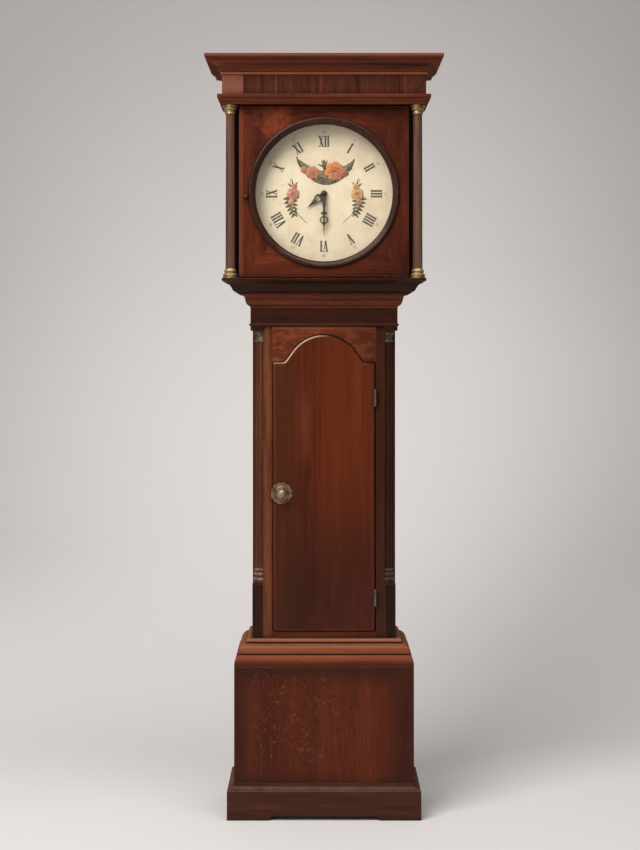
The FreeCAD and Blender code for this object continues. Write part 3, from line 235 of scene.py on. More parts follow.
# %% Helpers for groups and materials
def new_group(name, values, outputs):
    """An empty node group: coordinates and named values go in, the named outputs come out."""
    tree = bpy.data.node_groups.new(name, "ShaderNodeTree")
    tree.interface.new_socket("Vector", in_out="INPUT", socket_type="NodeSocketVector")
    for label, value in values.items():
        socket = tree.interface.new_socket(label, in_out="INPUT", socket_type="NodeSocketFloat")
        socket.default_value = value
    for label in outputs:
        kind = "Vector" if label in ("Vector", "Normal") else "Float"
        tree.interface.new_socket(label, in_out="OUTPUT", socket_type="NodeSocket" + kind)
    print("group", name)
    return tree, tree.nodes.new("NodeGroupInput").outputs, tree.nodes.new("NodeGroupOutput")


def place(group, **sockets):
    """The outputs of a node group placed in the tree of its coordinates."""
    return add(sockets["Vector"].id_data, "Group", {"node_tree": group}, **sockets).outputs


def new_material(name):
    made = bpy.data.materials.new(name)
    made.use_nodes = True
    tree = made.node_tree
    return made, tree.nodes["Principled BSDF"], add(tree, "TexCoord").outputs["Object"]


def dress(finish, *pieces):
    for name in pieces:
        for holder in nodes[name].material_slots:
            holder.material = finish


print("material helpers ready")

# %% [markdown]
# ## Effects shared by several finishes
#
# Long grain is three noises drawn out along one axis: a broad figure, streaks a few millimetres wide and
# short dark pores. The grain runs along the vector's Z, so each board only has to turn its coordinates.

# %% Group: long grain
PORES_PER_METRE = 950.0
GRAIN_VALUES = {"Streak Width": 0.007, "Figure Width": 0.05, "Stretch": 0.06}
long_grain, given, result = new_group("long_grain", GRAIN_VALUES, ("Figure", "Streaks", "Pores", "Height"))
drawn = stretched(given["Vector"], join(1.0, 1.0, given["Stretch"]))
wavy = wandering(drawn, 9.0, 0.03)
figure = noise(wavy, sums("DIVIDE", 1.0, given["Figure Width"]), 3.0, 0.55)
streaks = noise(wavy, sums("DIVIDE", 1.0, given["Streak Width"]), 4.0, 0.62)
short = stretched(given["Vector"], (1.0, 1.0, 0.09))
pores = ramp(noise(short, PORES_PER_METRE, 1.0), 0.6, 0.72)
connect(result, Figure=figure, Streaks=streaks, Pores=pores, Height=scaled(pores, -0.7, streaks))

# %% [markdown]
# Mouldings go round three sides of the case and meet in mitres. Their grain has to turn with them, so this
# group asks on which side of the mitre plane a point lies, and hands on coordinates whose Z runs along.

# %% Group: grain along a mitred moulding
mitred_run, given, result = new_group("mitred_run", {"Corner": 0.14}, ("Vector",))
x, y, z = split(given["Vector"])
outside = sums("ADD", sums("ABSOLUTE", x), y)
on_side = sums("GREATER_THAN", outside, given["Corner"])
connect(result, Vector=mixed("VECTOR", on_side, join(z, y, x), join(z, x, y)))

# %% [markdown]
# Edges of old furniture are never sharp: hands and dusters round them and wear the finish thin. The Bevel
# node gives the normal of a rounded edge, and where that differs from the flat normal the wood shows
# through.

# %% Group: worn edges
worn_edges, given, result = new_group("worn_edges", {"Radius": 0.003, "Patchiness": 0.5}, ("Wear", "Normal"))
rounded = add(worn_edges, "Bevel", {"samples": 4}, Radius=given["Radius"]).outputs[0]
likeness = vectors("DOT_PRODUCT", rounded, add(worn_edges, "NewGeometry").outputs["Normal"])
patches = ramp(noise(given["Vector"], 38.0, 3.0), 0.35, 0.65)
patches = sums("SUBTRACT", 1.0, times(patches, given["Patchiness"]))
connect(result, Wear=times(ramp(likeness, 0.995, 0.86), patches), Normal=rounded)

# %% [markdown]
# Dust settles on what faces up, and wax and polish build up unevenly; the same pale coat also stands in for
# the light on upward faces, a painted highlight. This group looks at the normal's upward share and breaks it
# with noise; wood, brass and iron all use it.

# %% Group: dust and a painted highlight on top faces
dust_and_top_light, given, result = new_group("dust_and_top_light", {"Amount": 0.5}, ("Dust",))
upward = split(add(dust_and_top_light, "NewGeometry").outputs["Normal"])["Z"]
cloud = ramp(noise(given["Vector"], 24.0, 5.0, 0.6), 0.1, 0.9)
connect(result, Dust=times(ramp(upward, 0.25, 0.95), cloud, given["Amount"]))

# %% [markdown]
# Polish, soot and wax gather where a cloth can't reach, and shade falls into the same hollows, so this group
# darkens them as dirt and painted shade together. The Ambient Occlusion node measures how closed in a point
# is, and noise keeps the darkening uneven.

# %% Group: dirt and painted shade in the hollows
soiled_shaded_hollows, given, result = new_group("soiled_shaded_hollows", {"Reach": 0.02}, ("Grime",))
openness = add(soiled_shaded_hollows, "AmbientOcclusion", {"samples": 6}, Distance=given["Reach"]).outputs["AO"]
uneven = scaled(noise(given["Vector"], 60.0, 3.0), 0.3, -0.15)
connect(result, Grime=ramp(sums("ADD", openness, uneven), 0.95, 0.3))

# %% [markdown]
# Old paint on sheet iron shrinks and crazes into a net of fine cracks, closer in some places than in others.
# The dial ground and the flowers on it crack together, so the net is a group that both use.

# %% Group: crazing
crazing, given, result = new_group("crazing", {"Size": 0.006}, ("Cracks", "Stain"))
bent = wandering(given["Vector"], 90.0, 0.004)
cells = add(crazing, "TexVoronoi", {"feature": "DISTANCE_TO_EDGE"}, Vector=bent,
            Scale=sums("DIVIDE", 1.0, given["Size"])).outputs["Distance"]
where = ramp(noise(given["Vector"], 22.0, 3.0), 0.42, 0.62)
connect(result, Cracks=times(ramp(cells, 0.06, 0.0), where), Stain=noise(given["Vector"], 14.0, 5.0, 0.6))

# %% [markdown]
# ## Mahogany
#
# The case is mahogany under old polish: red-brown with darker streaks, fine pores and a soft gloss. One
# function makes every board's finish from three tones and a grain direction, so that boards differ the way
# boards do. Extra paint, such as a lighter field, is a function that returns a changed colour.

# %% Mahogany maker
PORE, RUBBED_AND_LIT, DUST_AND_TOP_LIGHT, SOOT_AND_SHADE = (28, 12, 8), (146, 86, 54), (126, 98, 78), (20, 11, 8)
EDGE_RADIUS = 0.0028
SOIL_AND_SHADE_REACH = 0.022


def grain_way(plain, across=False, corner=None):
    """Coordinates whose Z runs along the board: up, across, or round a mitred corner."""
    if corner:
        return place(mitred_run, Vector=plain, Corner=corner)["Vector"]
    if across:
        x, y, z = split(plain)
        return join(z, y, x)
    return plain


def mahogany(name, tones, *pieces, across=False, corner=None, way=None, streak=0.007, figure=0.05,
             stretch=0.06, wear=0.4, dust_and_lit_tops=0.4, gloss=0.36, polish=0.1, soil_and_shade_share=0.8, paint=None):
    """Polished mahogany from (dark, middle, light) tones, duller where it is seen edge on, on the pieces."""
    made, surface, plain = new_material(name)
    along = way(plain) if way else grain_way(plain, across, corner)
    grain = place(long_grain, Vector=along, Streak_Width=streak, Figure_Width=figure, Stretch=stretch)
    pattern = scaled(grain["Figure"], 0.6, times(grain["Streaks"], 0.4))
    dark, middle, light = tones
    colour = painted(linear(*dark), (middle, ramp(pattern, 0.36, 0.52)), (light, ramp(pattern, 0.52, 0.68)))
    if paint:
        colour = paint(plain, colour)
    edges = place(worn_edges, Vector=plain, Radius=EDGE_RADIUS, Patchiness=0.7)
    rubbed = times(edges["Wear"], wear)
    dusty_and_lit = place(dust_and_top_light, Vector=plain, Amount=dust_and_lit_tops)["Dust"]
    soil_and_shade = place(soiled_shaded_hollows, Vector=plain, Reach=SOIL_AND_SHADE_REACH)["Grime"]
    # Dirt in the hollows also serves as painted shade, and dust on top faces as a painted highlight.
    colour = painted(colour, (PORE, grain["Pores"], 0.45), (RUBBED_AND_LIT, rubbed), (DUST_AND_TOP_LIGHT, dusty_and_lit),
                     (SOOT_AND_SHADE, soil_and_shade, soil_and_shade_share))
    rough = scaled(grain["Streaks"], 0.16, gloss - 0.08)
    rough = scaled(sums("ADD", rubbed, dusty_and_lit), 0.25, rough)
    grazing = ramp(add(made.node_tree, "LayerWeight", Blend=0.5).outputs["Facing"], 0.55, 0.9)
    connect(surface, Base_Color=colour, Roughness=sums("MULTIPLY_ADD", grazing, 0.6, rough, clamp=True),
            Coat_Weight=scaled(grazing, -polish, polish), Coat_Roughness=0.18, Specular_IOR_Level=0.08,
            Normal=bump(grain["Height"], 0.22, 0.0006, Normal=edges["Normal"]))
    dress(made, *pieces)
    return made


print("mahogany ready")

# %% [markdown]
# ## Plinth, base and base moulding
#
# The base front is a veneered panel: a redder field inside a darker cross band, scuffed by years of feet and
# brooms. The field and the scuffs are masks in the panel's own coordinates, so they stay on it from any side.

# %% Finishes of the base
CASE_CORNER = 0.14075
FIELD_WIDE, FIELD_TALL = (-0.190, 0.172), (0.094, 0.344)
SCUFFED_WIDE, SCUFFED_TALL = (-0.185, 0.050), (0.130, 0.355)
LIT_BANDS = ((0.431, 0.441, 0.002, 0.5, (168, 106, 66)), (0.408, 0.429, 0.003, 0.3, (160, 92, 52)),
             (0.389, 0.404, 0.004, 0.45, (142, 74, 50)))


def base_panel(plain, colour):
    x, _, z = split(plain)
    ragged = scaled(noise(plain, 7.0), 0.05, -0.025)
    x = sums("ADD", x, ragged)
    z = sums("ADD", z, ragged)
    field = times(inside(x, *FIELD_WIDE, 0.028), inside(z, *FIELD_TALL, 0.028))
    zone = times(inside(x, *SCUFFED_WIDE, 0.05), inside(z, *SCUFFED_TALL, 0.04))
    curls = sums("ABSOLUTE", sums("SUBTRACT", noise(plain, 30.0, 1.5, 0.5, 2.2), 0.5))
    curls = times(ramp(curls, 0.024, 0.004), ramp(noise(plain, 66.0), 0.5, 0.6))
    dabs = ramp(noise(plain, 100.0, 1.5, 0.5, 1.0), 0.62, 0.7)
    patches = ramp(noise(plain, 11.0), 0.34, 0.56)
    return painted(colour, ((42, 20, 11), sums("SUBTRACT", 1.0, field), 0.7),
                   ((140, 80, 46), sums("MAXIMUM", curls, dabs), zone, patches, 0.42))


def banded_moulding(plain, colour):
    """Painted highlights in three bands, tan, brown and red, then painted shade toward the foot."""
    height = split(plain)["Z"]
    for low, high, soft, share, tone in LIT_BANDS:
        colour = painted(colour, (tone, inside(height, low, high, soft), share))
    return painted(colour, ((54, 25, 16), ramp(height, 0.398, 0.377), 0.8))


BASE_TONES = ((66, 25, 11), (81, 32, 13), (97, 41, 17))
PLINTH_TONES = ((48, 24, 18), (68, 35, 25), (86, 47, 34))
MOULDING_TONES = ((78, 34, 20), (112, 56, 33), (140, 74, 44))
mahogany("base_panel", BASE_TONES, "base_front", figure=0.09, paint=base_panel, dust_and_lit_tops=0.3)
mahogany("base_side_board", BASE_TONES, "base_sides", figure=0.08, dust_and_lit_tops=0.3)
mahogany("plinth_board", PLINTH_TONES, "plinth_front", "plinth_sides", corner=CASE_CORNER, figure=0.04,
         dust_and_lit_tops=0.5)
mahogany("base_moulding_run", MOULDING_TONES, "base_moulding", corner=CASE_CORNER, figure=0.03, gloss=0.3,
         paint=banded_moulding)
print("base dressed")

# %% [markdown]
# ## Trunk
#
# The door is the best board of the case: long straight streaks with a pinkish band above the lock, redder in
# its heart and browner toward its foot and its left edge, where smoke and hands have darkened it.

# %% Trunk door
DOOR_TONES = ((62, 26, 13), (87, 37, 18), (109, 49, 24))


def door_board(plain, colour):
    x, _, z = split(plain)
    ragged = scaled(noise(stretched(plain, (1.0, 1.0, 0.2)), 26.0, 3.0), 0.05, -0.025)
    wavy = sums("ADD", x, ragged)
    band = times(inside(wavy, -0.062, -0.038, 0.014), inside(z, 0.90, 1.03, 0.05))
    heart = times(inside(wavy, -0.03, 0.10, 0.05), ramp(z, 0.55, 0.8))
    smoke = noise(stretched(plain, (1.0, 1.0, 0.3)), 11.0, 3.0)
    low = times(ramp(z, 0.95, 0.50), ramp(smoke, 0.25, 0.6, 0.5, 1.0))
    left = times(ramp(x, -0.04, -0.115), ramp(smoke, 0.32, 0.58))
    return painted(colour, ((122, 62, 44), band, 0.4), ((108, 44, 18), heart, 0.4), ((46, 20, 13), low, 0.8),
                   ((62, 34, 17), left, 0.6))


mahogany("door_board", DOOR_TONES, "trunk_door", streak=0.006, figure=0.06, stretch=0.035, paint=door_board,
         gloss=0.33, soil_and_shade_share=0.4)
mahogany("trunk_side_board", DOOR_TONES, "trunk_sides", figure=0.08)
print("trunk door dressed")

# %% [markdown]
# The rails and stiles round the door are plainer. The left stile has a painted highlight along
# its inner edge, the rings at the columns' feet have painted highlights, and all of them get painted shade
# to the right.

# %% Frame, columns and mouldings of the trunk
COLUMN_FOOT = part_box("quarter_columns")[0][2]
FOOT_RINGS = ((0.0070, 0.0140), (0.0200, 0.0270), (0.0310, 0.0375))


def painted_right_shade(across, amount):
    """A coat of painted shade on the right, the side turned away from the lamps."""
    return (40, 20, 14), ramp(across, -0.03, 0.14), amount


def stile_painted_light(plain, colour):
    x = split(plain)["X"]
    thin = ramp(noise(stretched(plain, (1.0, 1.0, 0.1)), 60.0, 3.0), 0.3, 0.6)
    # A painted highlight down the left stile's inner edge, and painted shade to the right.
    return painted(colour, (RUBBED_AND_LIT, inside(x, -0.150, -0.133, 0.006), thin, 0.4), painted_right_shade(x, 0.6))


def spandrel(plain, colour):
    x, _, z = split(plain)
    mottle = ramp(noise(stretched(plain, (0.5, 1.0, 1.0)), 70.0, 4.0, 0.65), 0.42, 0.62)
    # The thin pale line near the top is a painted highlight, and the right gets painted shade.
    return painted(colour, ((136, 68, 42), mottle, ramp(z, 1.10, 1.14), 0.75),
                   ((176, 98, 58), inside(z, 1.212, 1.2175, 0.002), 0.7), painted_right_shade(x, 0.45))


def column_painted_light(plain, colour):
    x, _, z = split(plain)
    thin = ramp(noise(plain, 90.0), 0.34, 0.6, 0.2, 0.6)
    rings = [inside(z, COLUMN_FOOT + low, COLUMN_FOOT + high, 0.0018) for low, high in FOOT_RINGS]
    # Painted highlights on the three foot rings, and painted shade to the right.
    return painted(colour, *(((158, 132, 120), ring, thin) for ring in rings), painted_right_shade(x, 0.6))


RAIL_TONES = ((70, 32, 19), (97, 46, 27), (121, 60, 35))
FRIEZE_TONES = ((44, 21, 15), (60, 29, 19), (76, 38, 25))
STILE_TONES = ((58, 27, 16), (82, 40, 24), (104, 53, 31))
BLOCK_TONES = ((33, 15, 8), (46, 22, 12), (59, 30, 17))
COLUMN_TONES = ((54, 28, 16), (79, 42, 25), (103, 59, 37))
mahogany("stile_painted_light", STILE_TONES, "trunk_stiles", paint=stile_painted_light)
mahogany("rail_board", RAIL_TONES, "trunk_rails", across=True, figure=0.03, paint=spandrel)
mahogany("corner_block", BLOCK_TONES, "corner_blocks")
mahogany("quarter_column_turning", COLUMN_TONES, "quarter_columns", figure=0.03, streak=0.004, gloss=0.3,
         paint=column_painted_light)
mahogany("trunk_frieze_run", FRIEZE_TONES, "trunk_frieze", corner=CASE_CORNER)
mahogany("throat_run", RAIL_TONES, "throat_moulding", corner=CASE_CORNER, figure=0.03, gloss=0.32)
print("trunk dressed")

# %% [markdown]
# ## Hood
#
# The hood carries the best veneers. Its door is mitred at the corners, so the grain turns where the two
# diagonals of the square cross, leaning toward the corners like crotch veneer, and one corner shows a flame.

# %% Hood door
DIAL_HEIGHT = 1.549
GRAIN_LEAN = 0.7


def mitred_door(plain):
    """Grain that runs up the stiles and across the rails."""
    x, y, z = split(plain)
    wide = sums("ABSOLUTE", x)
    tall = sums("ABSOLUTE", sums("SUBTRACT", z, DIAL_HEIGHT))
    up = join(x, y, scaled(wide, GRAIN_LEAN, z))
    across = join(z, y, scaled(tall, GRAIN_LEAN, x))
    return mixed("VECTOR", sums("GREATER_THAN", wide, tall), across, up)


def flame_and_painted_light(plain, colour):
    x, _, z = split(plain)
    height = sums("SUBTRACT", z, DIAL_HEIGHT)
    corner = times(inside(x, -0.185, -0.085, 0.02), ramp(height, 0.10, 0.17))
    tongues = ramp(noise(stretched(plain, (1.0, 1.0, 0.5)), 38.0, 4.0, 0.6, 0.8), 0.3, 0.66)
    mitre = ramp(sums("ADD", height, x), -0.014, 0.014, 0.3, 1.0)
    # The pale strip down the left edge is a painted highlight and the darkening to the right painted shade.
    return painted(colour, ((136, 64, 38), corner, tongues, mitre, 0.7),
                   ((128, 74, 48), inside(x, -0.212, -0.200, 0.003), 0.4),
                   ((44, 18, 13), ramp(x, 0.02, 0.19), 0.4))


HOOD_DOOR_TONES = ((58, 24, 14), (84, 36, 21), (108, 48, 27))
BEZEL_TONES = ((38, 20, 14), (54, 29, 20), (74, 42, 29))
mahogany("hood_door_veneer", HOOD_DOOR_TONES, "hood_door_frame", streak=0.006, figure=0.03, stretch=0.15,
         paint=flame_and_painted_light, way=mitred_door, gloss=0.3)
mahogany("bezel_turning", BEZEL_TONES, "hood_bezel", streak=0.004, figure=0.03, gloss=0.26, wear=0.35,
         polish=0.25)
mahogany("hood_side_board", HOOD_DOOR_TONES, "hood_sides", figure=0.07)
mahogany("mask_board", FRIEZE_TONES, "hood_mask", across=True)
print("hood door dressed")

# %% [markdown]
# The frieze has upright veneer between two end blocks cut on the slant, with pale lines at the joints, and a
# painted highlight on its left end block. The cornice above it has painted highlights on its lowest bead and
# along its top.

# %% Frieze, cornice and columns of the hood
HOOD_CORNER = 0.14555
HOOD_FOOT_CORNER = 0.14625
BLOCK_FROM = 0.1995
BLOCK_LEAN = -0.75


def slanted_ends(plain):
    """Upright veneer in the middle of the frieze, grain on the slant in its end blocks."""
    x, y, z = split(plain)
    block = sums("GREATER_THAN", sums("ABSOLUTE", x), BLOCK_FROM)
    return join(sums("ADD", x, times(z, BLOCK_LEAN, block)), y, z)


def frieze_veneer_lit_left(plain, colour):
    x = split(plain)["X"]
    wide = sums("ABSOLUTE", x)
    block = sums("GREATER_THAN", wide, BLOCK_FROM)
    # The end blocks are painted lighter, the left one most: a painted highlight.
    left = scaled(sums("LESS_THAN", x, 0.0), 0.75, 0.05)
    joint = sums("ADD", inside(x, -0.1195, -0.1165, 0.0012), inside(wide, 0.1983, 0.2003, 0.0008))
    return painted(colour, ((140, 86, 68), block, left), ((140, 84, 60), joint, 0.4))


def lit_bead(plain, colour):
    # Painted highlights: a lighter top edge and a bright lowest bead.
    height = split(plain)["Z"]
    return painted(colour, ((150, 84, 56), ramp(height, 1.872, 1.877), 0.4),
                   ((172, 96, 62), inside(height, 1.838, 1.8465, 0.0015), 0.8))


HOOD_RUN_TONES = ((66, 30, 18), (96, 46, 28), (124, 62, 38))
VENEER_TONES = ((54, 25, 17), (78, 38, 25), (102, 52, 35))
HOOD_COLUMN_TONES = ((70, 47, 38), (98, 68, 54), (128, 94, 76))
FOOT_TONES = ((34, 18, 12), (47, 24, 16), (62, 33, 21))
mahogany("frieze_veneer_lit_left", VENEER_TONES, "hood_frieze", streak=0.005, figure=0.018, stretch=0.05,
         paint=frieze_veneer_lit_left, way=slanted_ends)
mahogany("cornice_run", HOOD_RUN_TONES, "cornice", corner=HOOD_CORNER, figure=0.03, gloss=0.3, paint=lit_bead)
mahogany("architrave_run", HOOD_RUN_TONES, "architrave", corner=HOOD_CORNER, figure=0.03, gloss=0.3)
mahogany("hood_foot_run", FOOT_TONES, "hood_base_moulding", corner=HOOD_FOOT_CORNER, figure=0.03, gloss=0.32)
mahogany("hood_column_turning", HOOD_COLUMN_TONES, "hood_columns", streak=0.004, figure=0.02, gloss=0.28)
print("hood dressed")

# %% [markdown]
# ## Plain boards, brass, steel and iron
#
# What nobody sees is made of deal, brushed with thin size and browned by age, with a knot here and there.

# %% Deal for the hidden boards
def deal(name, *pieces, across=False):
    made, surface, plain = new_material(name)
    along = grain_way(plain, across)
    grain = place(long_grain, Vector=along, Streak_Width=0.006, Figure_Width=0.05, Stretch=0.02)
    upright = stretched(along, (1.0, 1.0, 0.5))
    knots = add(made.node_tree, "TexVoronoi", Vector=upright, Scale=4.2).outputs["Distance"]
    dusty_and_lit = place(dust_and_top_light, Vector=plain, Amount=0.6)["Dust"]
    edges = place(worn_edges, Vector=plain, Radius=0.0016, Patchiness=0.5)
    colour = painted(linear(108, 80, 52), ((150, 116, 80), ramp(grain["Streaks"], 0.36, 0.64)),
                     ((128, 88, 54), ramp(grain["Figure"], 0.4, 0.65), 0.4),
                     ((70, 42, 24), ramp(knots, 0.07, 0.03)),
                     ((78, 58, 42), ramp(noise(plain, 5.0, 4.0), 0.4, 0.7), 0.5), ((124, 108, 90), dusty_and_lit))
    connect(surface, Base_Color=colour, Roughness=scaled(grain["Streaks"], 0.2, 0.62),
            Normal=bump(grain["Height"], 0.35, 0.0009, Normal=edges["Normal"]))
    dress(made, *pieces)


deal("deal_upright", "backboard")
deal("deal_across", "base_floor", "hood_top_board", "seat_board", across=True)
print("deal boards dressed")

# %% [markdown]
# The brass is lacquered and tarnished: darker and rougher in the hollows, partly painted shade, bright where
# fingers touch it.
# Steel, iron and the blackened hands differ from it in tones, shine and how far they are pitted.

# %% Metals
def metal(name, bright, dull, *pieces, shine=0.28, tarnish=0.5, metallic=1.0, pitted=0.15, radius=0.0012,
          reach=0.008):
    """A worked metal on the pieces: bright where it is rubbed, dull and darker in patches."""
    made, surface, plain = new_material(name)
    cloud = noise(plain, 70.0, 5.0, 0.6)
    fine = noise(plain, 900.0, 3.0)
    edges = place(worn_edges, Vector=plain, Radius=radius, Patchiness=0.3)
    soil_and_shade = place(soiled_shaded_hollows, Vector=plain, Reach=reach)["Grime"]
    dusty_and_lit = place(dust_and_top_light, Vector=plain, Amount=0.25)["Dust"]
    dulled = times(ramp(cloud, 0.35, 0.65), tarnish)
    dulled = sums("SUBTRACT", dulled, times(edges["Wear"], 0.5), clamp=True)
    colour = painted(linear(*bright), (dull, dulled), ((30, 19, 11), soil_and_shade, 0.8), ((120, 110, 96), dusty_and_lit))
    connect(surface, Base_Color=colour, Metallic=scaled(dusty_and_lit, -0.7 * metallic, metallic),
            Roughness=scaled(fine, 0.12, scaled(dulled, 0.3, shine)),
            Normal=bump(scaled(cloud, 0.5, fine), pitted, 0.0004, Normal=edges["Normal"]))
    dress(made, *pieces)
    return made


metal("column_brass", (190, 162, 116), (122, 94, 62), "hood_column_brasses", shine=0.4, tarnish=0.7)
metal("capital_brass", (128, 120, 98), (80, 74, 58), "quarter_capitals", shine=0.45, tarnish=0.8)
# A longer reach for the rosette and the knob paints a shadow round the knob's foot.
metal("rosette_brass", (146, 116, 88), (66, 46, 32), "latch_rosette", shine=0.42, tarnish=0.85, metallic=0.85,
      reach=0.022)
metal("knob_brass", (186, 158, 128), (96, 70, 50), "latch_knob", shine=0.36, tarnish=0.6, metallic=0.85,
      reach=0.018)
metal("hinge_brass", (140, 122, 112), (84, 70, 62), "trunk_hinge_case_leaves", "trunk_hinge_door_leaves",
      shine=0.42, tarnish=0.8)
metal("strap_brass", (92, 64, 40), (54, 36, 24), "hood_hinge_straps", "hood_door_knob", shine=0.5,
      tarnish=0.9)
metal("clock_brass", (205, 165, 92), (150, 112, 58), "back_cock", "back_plate", "cannon_pinion",
      "centre_wheel", "dial_feet", "escape_wheel", "front_plate", "great_wheel", "hour_wheel", "minute_wheel",
      "pendulum_bob", "plate_pillars", "rating_nut", "rope_pulley", "third_wheel", shine=0.22, tarnish=0.45)
metal("drawn_steel", (150, 148, 144), (86, 80, 74), "latch_bar", "pallets", "pendulum_rod", shine=0.3)
metal("cast_iron", (78, 74, 70), (52, 40, 33), "counterweight", "weight", shine=0.55, tarnish=0.8,
      metallic=0.6, pitted=0.3, radius=0.003)
hand_black = metal("hand_black", (66, 58, 38), (44, 38, 25), "hour_hand", "minute_hand", "hand_collet",
                   shine=0.42, tarnish=0.6, metallic=0.3, radius=0.0006)
print("metals dressed")

# %% [markdown]
# ## The painted dial
#
# The dial is sheet iron with a cream ground, crazed and a little yellowed toward the rim.

# %% Dial ground
DIAL_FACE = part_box("dial")[0][1]


def dial_ground():
    made, surface, plain = new_material("dial_ground")
    net = place(crazing, Vector=plain, Size=0.0075)
    fine_net = place(crazing, Vector=plain, Size=0.0026)
    cracks = sums("MULTIPLY_ADD", fine_net["Cracks"], 0.5, net["Cracks"], clamp=True)
    out = vectors("DISTANCE", stretched(plain, (1.0, 0.0, 1.0)), (0.0, 0.0, DIAL_HEIGHT))
    colour = painted(linear(243, 222, 194), ((229, 205, 174), ramp(net["Stain"], 0.35, 0.7)),
                     ((220, 198, 162), ramp(out, 0.11, 0.175), 0.08), ((150, 124, 92), cracks, 0.28))
    connect(surface, Base_Color=colour, Roughness=scaled(net["Stain"], 0.2, 0.34),
            Normal=bump(sums("SUBTRACT", 1.0, cracks), 0.25, 0.0003))
    return made


dress(dial_ground(), "dial")
print("dial face at y", round(DIAL_FACE, 5))

# %% [markdown]
# Numerals and flowers were painted on the ground, so they are thin films that lie just in front of it and
# ride on the case with it. These helpers turn points into meshes and pieces, and give old paint its wear.

# %% Helpers for new pieces
FILM = 0.00012


def new_mesh(name, points, faces, smooth=False, outward=False):
    """A mesh from points and faces; outward turns the normals of closed shapes to the outside."""
    mesh = bpy.data.meshes.new(name)
    mesh.from_pydata([tuple(point) for point in points], [], faces)
    if outward:
        shape = bmesh.new()
        shape.from_mesh(mesh)
        bmesh.ops.recalc_face_normals(shape, faces=shape.faces)
        shape.to_mesh(mesh)
        shape.free()
    mesh.polygons.foreach_set("use_smooth", [smooth] * len(mesh.polygons))
    return mesh


def new_piece(mesh, finish):
    made = bpy.data.objects.new(mesh.name, mesh)
    scene.collection.objects.link(made)
    mesh.materials.append(finish)
    return made


def riding_piece(name, body, finish, points, faces, smooth=False):
    """A closed mesh piece that rides on a body."""
    made = new_piece(new_mesh(name, points, faces, smooth, outward=True), finish)
    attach(made, body)
    return made


def mesh_of(curve):
    """The mesh that a curve or a text draws; the curve itself is taken away."""
    holder = bpy.data.objects.new(curve.name, curve)
    drawn = bpy.data.meshes.new_from_object(holder)
    bpy.data.objects.remove(holder)
    bpy.data.curves.remove(curve)
    return drawn


def on_dial(angle, across, out, lift=0.0):
    """A point on the dial: across and out in a frame turned clockwise from twelve."""
    sine, cosine = math.sin(angle), math.cos(angle)
    height = DIAL_HEIGHT - across * sine + out * cosine
    return Vector((across * cosine + out * sine, DIAL_FACE - lift, height))


def film_paint(name, tone, faded):
    made, surface, plain = new_material(name)
    worn = ramp(noise(plain, 320.0, 4.0, 0.65), 0.42, 0.68)
    cracks = place(crazing, Vector=plain, Size=0.004)["Cracks"]
    connect(surface, Base_Color=painted(linear(*tone), (faded, worn, 0.5), (faded, cracks, 0.6)),
            Roughness=scaled(worn, 0.2, 0.4))
    return made


print("piece helpers ready")

# %% [markdown]
# Roman numerals were drawn with a flat brush: thick strokes down, thin strokes up, short serifs. Each
# stroke is a slanted bar with level ends, set out in a small frame whose height points away from the dial's
# centre.

# %% Roman numerals
NUMERALS = ("XII", "I", "II", "III", "IIII", "V", "VI", "VII", "VIII", "IX", "X", "XI")
NUMERAL_FOOT = 0.1170
NUMERAL_TALL = 0.0275
THICK, THIN = 0.0044, 0.0019
SERIF = 0.0014 / NUMERAL_TALL
NARROW_STEP, NARROW_SERIF = 0.0070, 0.0068
BROAD_STEP, BROAD_SERIF, BROAD_INSET, BROAD_WIDE = 0.0142, 0.0066, 0.0028, 0.0084


def numeral_bars(numeral):
    """The bars of a numeral as (foot, head, width, low, high), and its whole width."""
    bars = []
    cursor = 0.0
    for letter in numeral:
        if letter == "I":
            middle = cursor + NARROW_SERIF / 2
            bars.append((middle, middle, THICK, 0.0, 1.0))
            bars += [(middle, middle, NARROW_SERIF, low, low + SERIF) for low in (0.0, 1.0 - SERIF)]
            cursor += NARROW_STEP
            continue
        left = cursor + BROAD_INSET
        right = left + BROAD_WIDE
        feet = [(left + right) / 2] * 2 if letter == "V" else [right, left]
        bars += [(feet[0], left, THICK, 0.0, 1.0), (feet[1], right, THIN, 0.0, 1.0)]
        bars += [(end, end, BROAD_SERIF, 1.0 - SERIF, 1.0) for end in (left, right)]
        if letter == "X":
            bars += [(end, end, BROAD_SERIF, 0.0, SERIF) for end in (left, right)]
        cursor += BROAD_STEP
    return bars, cursor


def thin_plate(points, faces, front, back):
    """A flat closed plate between a front outline and the same outline behind it."""
    start, count = len(points), len(front)
    points.extend(front + back)
    faces.append([start + index for index in range(count)])
    faces.append([start + count + index for index in reversed(range(count))])
    for index in range(count):
        following = (index + 1) % count
        faces.append([start + index, start + count + index, start + count + following, start + following])


points, faces = [], []
for hour, numeral in enumerate(NUMERALS):
    bars, width = numeral_bars(numeral)
    for foot, head, thick, low, high in bars:
        outline = []
        for level, side in ((low, -1), (low, 1), (high, 1), (high, -1)):
            across = foot + (head - foot) * level - width / 2 + side * thick / 2
            outline.append((math.radians(30.0 * hour), across, NUMERAL_FOOT + level * NUMERAL_TALL))
        thin_plate(points, faces, [on_dial(*corner, FILM) for corner in outline],
                   [on_dial(*corner) for corner in outline])
numeral_paint = film_paint("numeral_paint", (58, 54, 46), (150, 138, 116))
riding_piece("dial_numerals", "case", numeral_paint, points, faces)
print("numerals", len(faces), "faces")

# %% [markdown]
# Small figures count the minutes by fives outside the hours. They are set from Blender's own font as text
# curves, turned to stand upright along the rim, and joined into one mesh.

